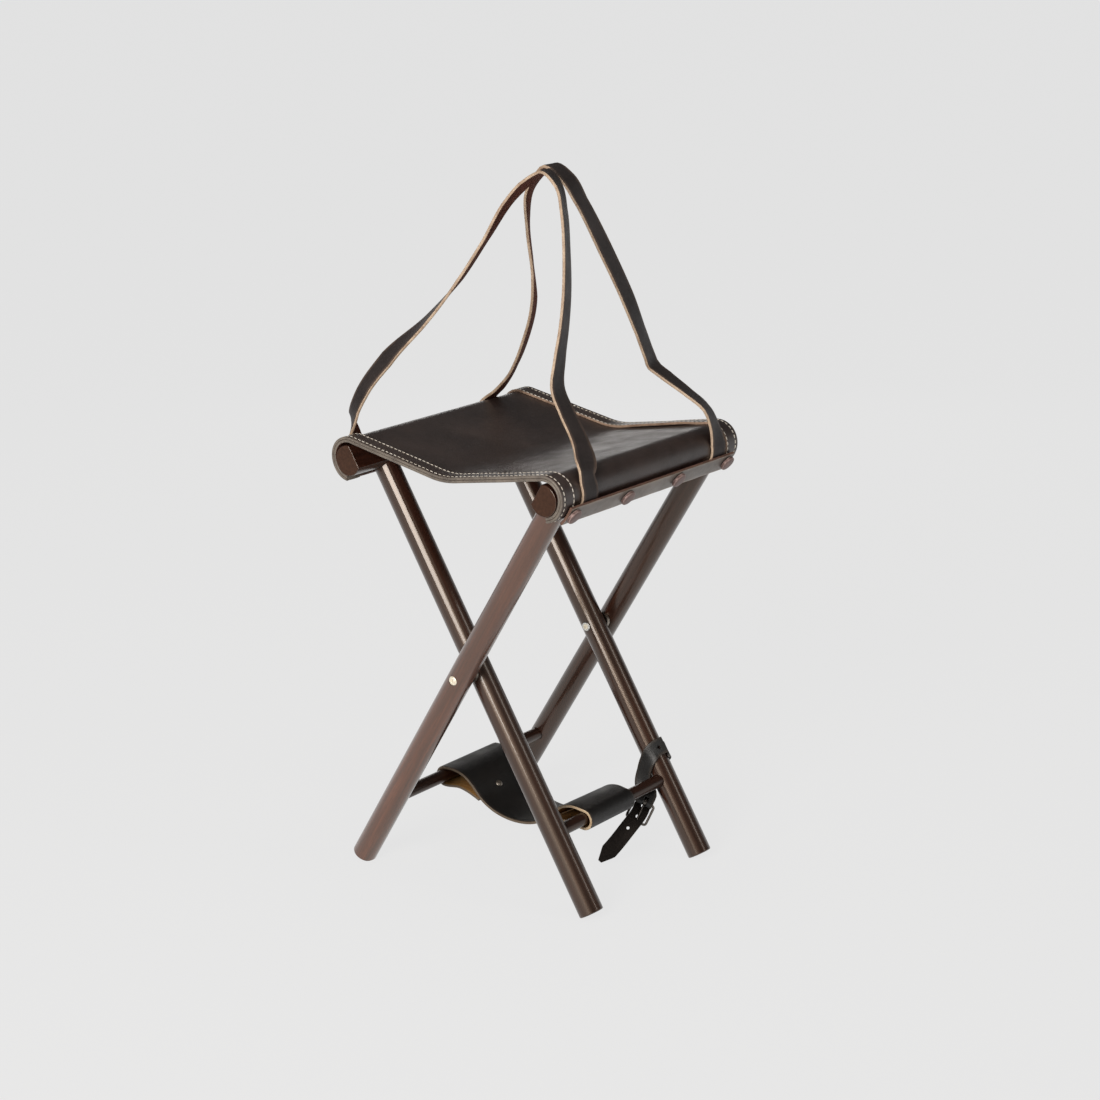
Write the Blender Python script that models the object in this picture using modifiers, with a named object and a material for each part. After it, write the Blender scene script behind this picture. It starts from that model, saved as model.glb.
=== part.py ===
"""Four-legged folding hunting stool with a slung leather seat, carry straps and a foot sling.

Metres, Z up, X across the stool, Y along the rails, front at -Y, origin on the floor.
"""

import math

import bmesh
import bpy
from mathutils import Matrix, Vector

MM = 0.001
GAP = 0.3 * MM

# Crossed frames
SPLAY = math.radians(31.83)
PIVOT_Z = 236.6 * MM
LEG_R = 13.0 * MM
LEG_INSET = 21.4 * MM
LEG_SPACE = 4.4 * MM
FOOT_TRIM = 1.6 * MM
FOOT_EDGE = 1.2 * MM
LEG_SHOULDER = 7.0 * MM
TENON_R = 8.0 * MM
TENON_RISE = 4.0 * MM
STRETCHER_U = -183.0 * MM
STRETCHER_R = 6.9 * MM
STRETCHER_DEPTH = 9.0 * MM

# Rails: a round bar with a flat on its inner side
RAIL_U = 247.4 * MM
RAIL_V = -3.0 * MM
RAIL_R = 16.0 * MM
RAIL_FLAT = 10.0 * MM
RAIL_HALF = 146.0 * MM
RAIL_EDGE = 1.2 * MM
OUTER_LEG_Y = RAIL_HALF - LEG_INSET
INNER_LEG_Y = OUTER_LEG_Y - 2 * LEG_R - LEG_SPACE

# Pivots
BOLT_R = 3.0 * MM
BOLT_HEAD_R = 5.0 * MM
BOLT_HEAD_T = 2.2 * MM
BOLT_SINK = 1.5 * MM
WASHER_R = 9.0 * MM

# Seat leather
LEATHER = 3.0 * MM
HEM_LIFT = 2.7 * MM
HEM_WIDTH = 20.0 * MM
HEM_STEP = 2.0 * MM
SEAT_INSET = 0.5 * MM
SEAT_HALF = RAIL_HALF - SEAT_INSET
SEAT_END = math.radians(-50.0)
SEAT_SLOPE = math.radians(10.2)
SEAT_ROUND = 90.0 * MM
SEAT_LIFT = 2.6 * MM
LIFT_FROM = math.radians(-40.0)
LIFT_TO = math.radians(60.0)

# Clamp strips and their screws
STRIP_T = 3.0 * MM
STRIP_LOW = 13.0 * MM
STRIP_HIGH = 10.0 * MM
STRIP_BOW = 60.0 * MM
STRIP_NEAR_INSET = 11.5 * MM
STRIP_FAR_INSET = 10.5 * MM
NOTCH_TOP = 4.0 * MM
SCREWS = 4
SCREW_NEAR_INSET = 7.5 * MM
SCREW_FAR_INSET = 8.0 * MM
SCREW_ANGLE = math.radians(-3.0)
SCREW_HEAD_R = 8.5 * MM
SCREW_HEAD_T = 4.0 * MM
SCREW_R = 2.2 * MM
SCREW_END_R = 12.0 * MM

# Carry straps
STRAP_W = 23.0 * MM
STRAP_T = 3.0 * MM
STRAP_NEAR_INSET = 53.5 * MM
STRAP_FRONT_INSET = 44.2 * MM
STRAP_FAR_INSET = 33.5 * MM
STRAP_APEX_Y = 12.0 * MM
STRAP_RISE = 289.6 * MM
STRAP_FOOT = 19.6 * MM
STRAP_END = math.radians(-31.0)

# Routes of the carry straps, each half from its rail up: the angle at which it leaves the rail, points
# outwards and up from the rail's centre, then points outwards from the middle and up from the apex. The lengths
# are in mm. The third number of a point is the strap's turn about the vertical there, in degrees, and a fourth
# one moves the point along the rails
FRONT_RIGHT = (30.0, ((17.2, 21.0, 7, 0.5), (2.0, 35.0, -7, 11.4), (-8.9, 47.6, 1, 12.4), (-27.2, 67.6, 4, 11.7),
                      (-41.3, 89.6, 8, 7.3), (-45.0, 117.6, 13, 6.0), (-46.2, 145.6, 18, 5.0)),
               ((78.7, -116.0, 21, 4.0), (68.7, -71.0, 26, 2.4), (57.2, -35.0, 27, 1.2), (47.9, -16.0, 29, 0.6),
                (23.8, 0.3, 20, 0.1)))
FRONT_LEFT = (10.0, ((22.3, 14.0, 5), (20.6, 25.0, 30, -5.0), (16.3, 39.0, 61, -14.0),
                     (15.0, 59.0, 72, -10.5), (-5.1, 96.6, 79, -5.0), (-43.6, 138.2, 47, -1.5)),
              ((53.7, -110.0, 26), (31.6, -70.0, 25), (11.2, -30.0, 12), (-3.5, -13.5, 2)))
REAR_RIGHT = (18.0, ((18.0, 25.6, 16), (12.7, 45.6, 25), (-6.3, 60.6, 20), (-30.5, 76.6, 9), (-43.7, 86.6, 9),
                     (-45.8, 97.6, 14), (-49.7, 123.6, 14), (-55.2, 155.6, 7)),
              ((58.4, -81.0, 4), (42.7, -33.0, 8), (32.0, -9.0, -1), (13.5, 3.0, 2)))
REAR_LEFT = (50.0, ((-4.8, 33.6, 14), (-30.3, 58.6, 28), (-57.8, 96.6, 26), (-81.0, 141.6, 28)),
             ((39.2, -112.0, 38), (32.6, -63.0, 35), (20.7, -27.0, 23), (2.6, -8.0, 14)))

# Foot sling
SLING_HALF = 52.0 * MM
SLING_T = 3.0 * MM
SLING_BORE = 8.5 * MM
SLING_SAG = 27.3 * MM
SLING_RIVET_IN = 46.0 * MM
SLING_RIVET_DROP = 8.4 * MM
SLING_RIVET_Y = -10.0 * MM
RIVET_HEAD_R = 4.0 * MM
RIVET_R = 2.0 * MM

# Profile of the sling in mm, inwards and up from the stretcher's centre: under it, then over it
SLING_FLAP = ((49.0, -16.1), (40.5, -12.8), (30.5, -9.9), (20.5, -8.5), (9.5, -10.1))
SLING_BELLY = ((12.5, 9.5), (26.5, 6.7), (39.1, -1.7), (52.1, -14.2), (66.5, -22.1), (81.5, -26.1))

# Closing strap and its buckle
BELT_W = 18.0 * MM
BELT_T = 2.2 * MM
BELT_HOLE_R = 1.7 * MM
WRAP_R = LEG_R + 0.7 * MM + BELT_T / 2
BUCKLE_WIRE = 1.4 * MM
BUCKLE_HALF_W = 11.4 * MM
BUCKLE_HALF_L = 10.0 * MM
PRONG_R = 0.9 * MM

# Routes of the closing strap in mm. Turns round the leg are an angle and a height above the stretcher, and
# the other points are outwards from the leg, along the stretcher and above it
BILLET_TURNS = ((-245, 27.0), (-220, 26.0), (-195, 24.0), (-170, 22.0), (-145, 19.0))
BILLET_RUN = ((16.4, -6.8, 14.0), (20.6, 5.2, 2.0), (23.2, 34.2, -22.0), (27.9, 56.2, -31.5),
              (43.5, 70.2, -42.0), (59.6, 84.2, -51.0))
BILLET_HOLES = (46.0, 62.0, 78.0, 94.0)
CHAPE_TURNS = ((50, 32.0), (25, 28.5), (0, 24.0))
CHAPE_RUN = ((9.0, 15.8, 15.5), (16.4, 18.0, 4.0))
CHAPE_TAIL = 13.0 * MM

WOOD = (0.090, 0.045, 0.032)
SEAT_HIDE = (0.045, 0.032, 0.029)
STRAP_HIDE = (0.045, 0.028, 0.022)
BLACK_HIDE = (0.018, 0.017, 0.017)
FASTENER = (0.150, 0.085, 0.075)
NICKEL = (0.720, 0.690, 0.630)
STEEL = (0.450, 0.440, 0.430)


def clear_scene():
    for obj in list(bpy.data.objects):
        bpy.data.objects.remove(obj, do_unlink=True)


def new_collection(name):
    group = bpy.data.collections.new(name)
    bpy.context.scene.collection.children.link(group)
    return group


def material(name, colour, roughness, metallic):
    mat = bpy.data.materials.new(name)
    mat.use_nodes = True
    shader = mat.node_tree.nodes["Principled BSDF"]
    shader.inputs["Base Color"].default_value = (*colour, 1.0)
    shader.inputs["Roughness"].default_value = roughness
    shader.inputs["Metallic"].default_value = metallic
    return mat


def place(name, data, parent, look):
    """Link a finished piece, or a hidden cutter when it has no look."""
    obj = bpy.data.objects.new(name, data)
    obj.parent = parent
    if look is None:
        CUTTERS.objects.link(obj)
        obj.hide_render = True
        obj.display_type = "WIRE"
    else:
        STOOL.objects.link(obj)
        data.materials.append(material(name, *look))
    return obj


def mesh_piece(name, bm, parent, look, smooth=True):
    mesh = bpy.data.meshes.new(name)
    bm.normal_update()
    bm.to_mesh(mesh)
    bm.free()
    for face in mesh.polygons:
        face.use_smooth = smooth
    if smooth:
        mesh.set_sharp_from_angle(angle=math.radians(35.0))
    return place(name, mesh, parent, look)


def rod(name, radius, start, end, parent, look=None, segments=32):
    """Straight round bar from one point to another, in the parent's frame."""
    start = Vector(start)
    end = Vector(end)
    bm = bmesh.new()
    length = (end - start).length
    bmesh.ops.create_cone(bm, cap_ends=True, segments=segments, radius1=radius, radius2=radius, depth=length)
    obj = mesh_piece(name, bm, parent, look)
    obj.location = (start + end) / 2
    obj.rotation_euler = (end - start).to_track_quat("Z", "Y").to_euler()
    return obj


def rods(name, radius, lines, parent, segments=16):
    """Several round cutters in one object."""
    bm = bmesh.new()
    for start, end in lines:
        start = Vector(start)
        end = Vector(end)
        turn = (end - start).to_track_quat("Z", "Y").to_matrix().to_4x4()
        where = Matrix.Translation((start + end) / 2) @ turn
        bmesh.ops.create_cone(bm, cap_ends=True, segments=segments, radius1=radius, radius2=radius,
                              depth=(end - start).length, matrix=where)
    return mesh_piece(name, bm, parent, None)


def block(name, low, high, parent):
    low = Vector(low)
    high = Vector(high)
    bm = bmesh.new()
    size = Matrix.Diagonal((*(high - low), 1.0))
    bmesh.ops.create_cube(bm, size=1.0, matrix=Matrix.Translation((low + high) / 2) @ size)
    return mesh_piece(name, bm, parent, None, smooth=False)


def lathe(name, profile, parent, look, steps=24):
    """Turned piece: an outline of (radius, height) points spun about local Z."""
    turns = zip(profile, profile[1:] + profile[:1])
    if sum(a[0] * b[1] - b[0] * a[1] for a, b in turns) > 0.0:
        profile = profile[::-1]
    bm = bmesh.new()
    points = [bm.verts.new((radius, 0.0, height)) for radius, height in profile]
    for first, second in zip(points, points[1:]):
        bm.edges.new((first, second))
    if profile[0][0] > 0.0:
        bm.edges.new((points[-1], points[0]))
    obj = mesh_piece(name, bm, parent, look)
    spin = obj.modifiers.new("Spin", "SCREW")
    spin.steps = steps
    spin.render_steps = steps
    spin.use_merge_vertices = True
    spin.merge_threshold = 0.00001
    return obj


def cut(obj, cutter, operation="DIFFERENCE"):
    change = obj.modifiers.new(operation.title(), "BOOLEAN")
    change.operation = operation
    change.solver = "EXACT"
    change.object = cutter


def soften(obj, width, segments=1):
    edge = obj.modifiers.new("Edge", "BEVEL")
    edge.width = width
    edge.segments = segments
    edge.limit_method = "ANGLE"
    edge.angle_limit = math.radians(50.0)


def sheet(name, rows, thickness, parent, look, offset=0.0, thin=None, smooth=True):
    """Leather: a grid laid through rows of points, then given its thickness."""
    long = len(rows) - 1
    wide = len(rows[0]) - 1
    bm = bmesh.new()
    bmesh.ops.create_grid(bm, x_segments=long, y_segments=wide, size=0.5)
    weights = {}
    for vert in bm.verts:
        i = round((vert.co.x + 0.5) * long)
        j = round((vert.co.y + 0.5) * wide)
        vert.co = rows[i][j]
        weights[vert.index] = j
    obj = mesh_piece(name, bm, parent, look, smooth)
    shell = obj.modifiers.new("Thickness", "SOLIDIFY")
    shell.thickness = thickness
    shell.offset = offset
    shell.use_even_offset = True
    if thin is not None:
        group = obj.vertex_groups.new(name="thickness")
        for index, j in weights.items():
            group.add([index], thin[j], "REPLACE")
        shell.vertex_group = "thickness"
    return obj


def smooth_path(points, step, guides=None):
    """Smooth route through hand-chosen points, and the guide directions that go with it."""
    line = [points[0] * 2 - points[1]] + points + [points[-1] * 2 - points[-2]]
    route = []
    turned = []
    for number, (a, b, c, d) in enumerate(zip(line, line[1:], line[2:], line[3:])):
        before, here, after = (b - a).length, (c - b).length, (d - c).length
        leave = ((b - a) / before * here + (c - b) / here * before) / (before + here)
        reach = ((c - b) / here * after + (d - c) / after * here) / (here + after)
        count = max(1, round(here / step))
        for part in range(count):
            t = part / count
            route.append(b * (2 * t ** 3 - 3 * t * t + 1) + leave * here * (t ** 3 - 2 * t * t + t)
                         + c * (3 * t * t - 2 * t ** 3) + reach * here * (t ** 3 - t * t))
            if guides:
                turned.append(guides[number].lerp(guides[number + 1], t))
    route.append(points[-1].copy())
    if guides:
        turned.append(guides[-1].copy())
        return route, turned
    return route


def tangents(route):
    ends = [route[0]] + route + [route[-1]]
    return [(after - before).normalized() for before, after in zip(ends, ends[2:])]


def ribbon_rows(route, across, half_widths, wide=1):
    rows = []
    for point, run, side, half in zip(route, tangents(route), across, half_widths):
        side = (side - run * side.dot(run)).normalized()
        rows.append([point + side * half * (2.0 * j / wide - 1.0) for j in range(wide + 1)])
    return rows


def polar(radius, angle):
    """Offset from a rail's centre in its own frame: 0 faces outwards, 90 degrees up the leg."""
    return Vector((radius * math.cos(angle), 0.0, radius * math.sin(angle)))


def in_world(point):
    """A point of the outer frame in the stool's own axes."""
    return Vector((0.0, 0.0, PIVOT_Z)) + Matrix.Rotation(SPLAY, 3, "Y") @ point


def frame_empty(name, turn):
    empty = bpy.data.objects.new(name, None)
    STOOL.objects.link(empty)
    empty.location = (0.0, 0.0, PIVOT_Z)
    empty.rotation_euler = (0.0, SPLAY, turn)
    return empty


WOOD_LOOK = (WOOD, 0.32, 0.0)
SEAT_LOOK = (SEAT_HIDE, 0.45, 0.0)
STRAP_LOOK = (STRAP_HIDE, 0.5, 0.0)
BLACK_LOOK = (BLACK_HIDE, 0.45, 0.0)
FASTENER_LOOK = (FASTENER, 0.45, 0.0)
NICKEL_LOOK = (NICKEL, 0.3, 1.0)
STEEL_LOOK = (STEEL, 0.35, 1.0)

RAIL_CENTRE = Vector((RAIL_V, 0.0, RAIL_U))
SHEET_R = RAIL_R + GAP
STRAP_MID_R = SHEET_R + LEATHER + GAP + STRAP_T / 2
STRIP_R = STRAP_MID_R + STRAP_T / 2 + GAP + STRIP_T
FOOT_U = (PIVOT_Z - LEG_R * math.sin(SPLAY) + FOOT_TRIM) / math.cos(SPLAY)
WASHER_T = LEG_SPACE - 2 * GAP
STRIP_Y = (-SEAT_HALF + STRIP_NEAR_INSET, SEAT_HALF - STRIP_FAR_INSET)
SCREW_FIRST = STRIP_Y[0] + SCREW_NEAR_INSET
SCREW_LAST = STRIP_Y[1] - SCREW_FAR_INSET
SCREW_Y = [SCREW_FIRST + (SCREW_LAST - SCREW_FIRST) * number / (SCREWS - 1) for number in range(SCREWS)]
STRAP_NEAR_Y = SEAT_HALF - STRAP_NEAR_INSET
STRAP_FRONT_Y = SEAT_HALF - STRAP_FRONT_INSET
STRAP_FAR_Y = SEAT_HALF - STRAP_FAR_INSET


def screw_lines(near, far):
    aim = polar(1.0, SCREW_ANGLE)
    spots = [RAIL_CENTRE + Vector((0.0, y, 0.0)) for y in SCREW_Y]
    return [(spot + aim * near, spot + aim * far) for spot in spots]


def wooden_frame(side, empty, leg_y, names):
    """Rail, two legs and a stretcher. Both frames use the same outline, half a turn apart."""
    bar = Vector((0.0, RAIL_HALF, 0.0))
    rail = rod(side + "_rail", RAIL_R, RAIL_CENTRE - bar, RAIL_CENTRE + bar, empty, WOOD_LOOK, 48)
    reach = 60.0 * MM
    flat = block(side + "_rail_flat_cut", RAIL_CENTRE + Vector((-reach, -0.2, -reach)),
                 RAIL_CENTRE + Vector((-RAIL_FLAT, 0.2, reach)), empty)
    cut(rail, flat)
    soften(rail, RAIL_EDGE, 2)
    top = RAIL_U + TENON_RISE
    sockets = rods(side + "_tenon_socket_cut", TENON_R + GAP,
                   [((0.0, y, RAIL_U - 60.0 * MM), (0.0, y, top + GAP)) for y in (-leg_y, leg_y)], empty, 24)
    cut(rail, sockets)
    pilots = rods(side + "_screw_pilot_cut", SCREW_R + GAP / 2,
                  screw_lines(SCREW_END_R - GAP, RAIL_R + 10.0 * MM), empty)
    cut(rail, pilots)
    cope_bar = Vector((0.0, 0.2, 0.0))
    cope = rod(side + "_cope_cut", RAIL_R + GAP, RAIL_CENTRE - cope_bar, RAIL_CENTRE + cope_bar, empty, None,
               48)
    legs = []
    for name, y in zip(names, (-leg_y, leg_y)):
        leg = rod(name, LEG_R, (0.0, y, -FOOT_U), (0.0, y, RAIL_U - LEG_SHOULDER), empty, WOOD_LOOK, 32)
        soften(leg, FOOT_EDGE, 2)
        cut(leg, cope)
        tenon = rod(name + "_tenon", TENON_R, (0.0, y, RAIL_U - 30.0 * MM), (0.0, y, top), empty, None, 24)
        cut(leg, tenon, "UNION")
        cut(leg, FLOOR_CUT)
        legs.append(leg)
    end = leg_y - LEG_R + STRETCHER_DEPTH
    where = Vector((0.0, 0.0, STRETCHER_U))
    run = Vector((0.0, end, 0.0))
    rod(side + "_stretcher", STRETCHER_R, where - run, where + run, empty, WOOD_LOOK, 24)
    hole = Vector((0.0, end + GAP, 0.0))
    mortise = rod(side + "_stretcher_cut", STRETCHER_R + GAP, where - hole, where + hole, empty, None, 24)
    for leg in legs:
        cut(leg, mortise)
    notch = rods(side + "_leg_notch_cut", LEG_R + GAP,
                 [((0.0, y, RAIL_U - 60.0 * MM), (0.0, y, RAIL_U - NOTCH_TOP)) for y in (-leg_y, leg_y)],
                 empty, 32)
    return legs, notch


def pivot(end, sign, outer_leg, inner_leg):
    """Bolt through both legs of one end, with a washer between them and a round nut inside."""
    face = OUTER_LEG_Y + LEG_R - BOLT_SINK
    inside = INNER_LEG_Y - LEG_R + BOLT_SINK
    head = [(0.0, face + BOLT_HEAD_T), (BOLT_HEAD_R * 0.55, face + BOLT_HEAD_T * 0.92),
            (BOLT_HEAD_R * 0.9, face + BOLT_HEAD_T * 0.6), (BOLT_HEAD_R, face + GAP), (BOLT_R, face + GAP),
            (BOLT_R, inside - BOLT_HEAD_T), (0.0, inside - BOLT_HEAD_T)]
    nut = [(BOLT_R + GAP / 2, inside - GAP), (BOLT_HEAD_R, inside - GAP),
           (BOLT_HEAD_R, inside - BOLT_HEAD_T * 0.7), (BOLT_HEAD_R * 0.85, inside - BOLT_HEAD_T),
           (BOLT_R + GAP / 2, inside - BOLT_HEAD_T)]
    between = INNER_LEG_Y + LEG_R + GAP
    ring = [(BOLT_R + GAP / 2, between), (WASHER_R, between), (WASHER_R, between + WASHER_T),
            (BOLT_R + GAP / 2, between + WASHER_T)]
    turn = (-sign * math.pi / 2, 0.0, 0.0)
    for name, outline in ((end + "_pivot_bolt", head), (end + "_pivot_nut", nut),
                          (end + "_pivot_washer", ring)):
        piece = lathe(name, outline, None, NICKEL_LOOK if "washer" not in name else STEEL_LOOK)
        piece.location = (0.0, 0.0, PIVOT_Z)
        piece.rotation_euler = turn
    far = 0.2
    shank = rod(end + "_pivot_hole_cut", BOLT_R + GAP, (0.0, 0.0, PIVOT_Z),
                (0.0, sign * far, PIVOT_Z), None, None, 24)
    sink = rod(end + "_pivot_head_cut", BOLT_HEAD_R + GAP, (0.0, sign * face, PIVOT_Z),
               (0.0, sign * far, PIVOT_Z), None, None, 24)
    seat = rod(end + "_pivot_nut_cut", BOLT_HEAD_R + GAP, (0.0, 0.0, PIVOT_Z),
               (0.0, sign * inside, PIVOT_Z), None, None, 24)
    cut(outer_leg, shank)
    cut(outer_leg, sink)
    cut(inner_leg, shank)
    cut(inner_leg, seat)


def clamp(side, empty):
    """Leather strip over the seat's end, the hems and the strap ends, with its row of screws."""
    steps = 4
    aim = polar(1.0, SCREW_ANGLE)
    rise = polar(1.0, SCREW_ANGLE + math.pi / 2)
    rows = []
    for i in range(steps + 1):
        along = (STRIP_LOW + STRIP_HIGH) * i / steps - STRIP_LOW
        out = STRIP_R - STRIP_T / 2 - along * along / (2 * STRIP_BOW)
        rows.append([RAIL_CENTRE + aim * out + rise * along + Vector((0.0, y, 0.0)) for y in STRIP_Y])
    strip = sheet(side + "_clamp_strip", rows, STRIP_T, empty, STRAP_LOOK)
    holes = rods(side + "_screw_hole_cut", SCREW_R + GAP, screw_lines(SHEET_R - 8.0 * MM, STRIP_R + 8.0 * MM),
                 empty)
    cut(strip, holes)
    under = STRIP_R + GAP
    outline = [(0.0, SCREW_END_R), (SCREW_R, SCREW_END_R), (SCREW_R, under), (SCREW_HEAD_R * 0.94, under),
               (SCREW_HEAD_R, under + SCREW_HEAD_T * 0.3), (SCREW_HEAD_R * 0.95, under + SCREW_HEAD_T * 0.75),
               (SCREW_HEAD_R * 0.7, under + SCREW_HEAD_T), (0.0, under + SCREW_HEAD_T)]
    for number, y in enumerate(SCREW_Y):
        screw = lathe("%s_clamp_screw_%d" % (side, number + 1), outline, empty, FASTENER_LOOK, 20)
        screw.location = RAIL_CENTRE + Vector((0.0, y, 0.0))
        screw.rotation_euler = (0.0, math.pi / 2 - SCREW_ANGLE, 0.0)
    return holes


def wrap_lift(angle):
    """How far the hide stands off a rail. The angle is from the level, outwards and up."""
    share = min(1.0, max(0.0, (angle - LIFT_FROM) / (LIFT_TO - LIFT_FROM)))
    return SEAT_LIFT * share * share * (3.0 - 2.0 * share)


def seat(cutters):
    """Hide slung between the rails, wrapped over each and thick at the two hemmed edges."""
    lift_y = SEAT_HALF - HEM_WIDTH
    flat_y = lift_y - HEM_STEP
    stations = (-SEAT_HALF, -lift_y, -flat_y, -55.0 * MM, 0.0, 55.0 * MM, flat_y, lift_y, SEAT_HALF)
    lifts = (HEM_LIFT, HEM_LIFT, 0.0, 0.0, 0.0, 0.0, 0.0, HEM_LIFT, HEM_LIFT)
    full = LEATHER + HEM_LIFT
    thin = [1.0 if lift else LEATHER / full for lift in lifts]
    centre = in_world(RAIL_CENTRE)
    leave = math.pi / 2 + SEAT_SLOPE
    start = SEAT_END - SPLAY
    arc = 24
    top = SHEET_R + LEATHER
    crest = top + wrap_lift(leave)
    edge = Vector((centre.x + crest * math.cos(leave), centre.z + crest * math.sin(leave)))
    drop = Vector((-math.cos(SEAT_SLOPE), -math.sin(SEAT_SLOPE)))
    round_x = SEAT_ROUND * math.sin(SEAT_SLOPE)
    span = (edge.x - round_x) / math.cos(SEAT_SLOPE)
    rows = []
    for i in range(arc + 1):
        angle = start + (leave - start) * i / arc
        out = top + wrap_lift(angle)
        rows.append([Vector((centre.x, y, centre.z)) + polar(out + lift, angle)
                     for y, lift in zip(stations, lifts)])
    up = Vector((-math.sin(SEAT_SLOPE), math.cos(SEAT_SLOPE)))
    for part in range(1, 5):
        spot = edge + drop * span * part / 4
        rows.append([Vector((spot.x + up.x * lift, y, spot.y + up.y * lift))
                     for y, lift in zip(stations, lifts)])
    low = edge + drop * span
    bend = 4
    for i in range(bend - 1, -1, -1):
        angle = SEAT_SLOPE * i / bend
        hub = Vector((0.0, 0.0, low.y + SEAT_ROUND * math.cos(SEAT_SLOPE)))
        rows.append([hub + Vector((0.0, y, 0.0)) + polar(SEAT_ROUND - lift, angle - math.pi / 2)
                     for y, lift in zip(stations, lifts)])
    for row in reversed(rows[:-1]):
        rows.append([Vector((-point.x, point.y, point.z)) for point in row])
    hide = sheet("seat_leather", rows, full, None, SEAT_LOOK, offset=1.0, thin=thin)
    for cutter in cutters:
        cut(hide, cutter)


def strap_arc(sign, leave, y, steps=8):
    """Strap end on one rail, from under the clamp strip to where it leaves the seat leather."""
    centre = in_world(RAIL_CENTRE)
    points = []
    for i in range(steps + 1):
        angle = STRAP_END - SPLAY + (leave - STRAP_END + SPLAY) * i / steps
        out = STRAP_MID_R + wrap_lift(angle)
        spot = centre + polar(out, angle)
        points.append(Vector((sign * spot.x, y, spot.z)))
    return points


def strap_half(sign, shape, end_y, apex_y):
    """One half of a carry strap: its turn round the rail, then its free run up to the apex."""
    leave, low, high = shape
    centre = in_world(RAIL_CENTRE)
    apex_z = centre.z + STRAP_RISE
    spots = [(centre.x + out * MM, centre.z + up * MM, turn) for out, up, *turn in low]
    spots += [(out * MM, apex_z + up * MM, turn) for out, up, *turn in high]
    arc = strap_arc(sign, math.radians(leave), end_y)
    route = arc[-2:]
    across = [Vector((0.0, 1.0, 0.0))] * 2
    for out, z, (twist, *lean) in spots:
        share = min(1.0, max(0.0, (apex_z - z) / (STRAP_RISE - STRAP_FOOT)))
        y = apex_y + (end_y - apex_y) * share + sum(lean) * MM
        route.append(Vector((sign * out, y, z)))
        turn = math.radians(twist)
        across.append(Vector((-math.sin(turn), math.cos(turn), 0.0)))
    return arc[:-2], route, across


def carry_strap(name, right, left, right_y, left_y, apex_y):
    """Strap from one rail to the other. The two straps lean together at the top."""
    first, rising, first_across = strap_half(1.0, right, right_y, apex_y)
    last, falling, last_across = strap_half(-1.0, left, left_y, apex_y)
    free, turned = smooth_path(rising + falling[::-1], 10.0 * MM, first_across + last_across[::-1])
    route = first + free + last[::-1]
    level = Vector((0.0, 1.0, 0.0))
    across = [level] * len(first) + turned + [level] * len(last)
    sheet(name, ribbon_rows(route, across, [STRAP_W / 2] * len(route), 2), STRAP_T, None, STRAP_LOOK)


def sling():
    """Foot sling: a hide hung between the stretchers, its ends turned round them and riveted back."""
    centre = in_world(Vector((0.0, 0.0, STRETCHER_U)))
    loop_r = SLING_BORE + SLING_T / 2
    loop_z = centre.z - (SLING_BORE - STRETCHER_R - GAP)
    flap = [Vector((centre.x + run * MM, 0.0, centre.z + up * MM)) for run, up in SLING_FLAP]
    belly = [Vector((centre.x + run * MM, 0.0, centre.z + up * MM)) for run, up in SLING_BELLY]
    belly.append(Vector((0.0, 0.0, centre.z - SLING_SAG)))
    turns = []
    for angle in range(-85, -276, -19):
        turn = math.radians(angle)
        turns.append(Vector((centre.x + loop_r * math.cos(turn), 0.0, loop_z + loop_r * math.sin(turn))))
    half = flap + turns + belly
    mirrored = [Vector((-point.x, 0.0, point.z)) for point in reversed(half[:-1])]
    route = smooth_path(half + mirrored, 5.0 * MM)
    across = [Vector((0.0, 1.0, 0.0))] * len(route)
    rows = ribbon_rows(route, across, [SLING_HALF] * len(route), 2)
    hide = sheet("foot_sling", rows, SLING_T, None, BLACK_LOOK)
    aim = Vector((-1.0, 0.0, -1.0)).normalized()
    reach = 20.0 * MM
    lines = []
    for sign, name in ((-1.0, "sling_rivet_outer"), (1.0, "sling_rivet_inner")):
        spot = Vector((-sign * (centre.x + SLING_RIVET_IN), -sign * SLING_RIVET_Y,
                       centre.z - SLING_RIVET_DROP))
        along = Vector((-sign * aim.x, 0.0, aim.z))
        lines.append((spot - along * reach * 0.4, spot + along * reach * 0.7))
        face = -SLING_T / 2 - GAP
        back = 10.8 * MM
        outline = [(0.0, face - 1.4 * MM), (RIVET_HEAD_R * 0.6, face - 1.2 * MM), (RIVET_HEAD_R, face),
                   (RIVET_R, face), (RIVET_R, back), (RIVET_HEAD_R, back),
                   (RIVET_HEAD_R * 0.6, back + 1.2 * MM), (0.0, back + 1.4 * MM)]
        rivet = lathe(name, outline, None, STEEL_LOOK, 16)
        rivet.location = spot
        rivet.rotation_euler = along.to_track_quat("Z", "Y").to_euler()
    cut(hide, rods("sling_rivet_cut", RIVET_R + GAP, lines, None))


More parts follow.
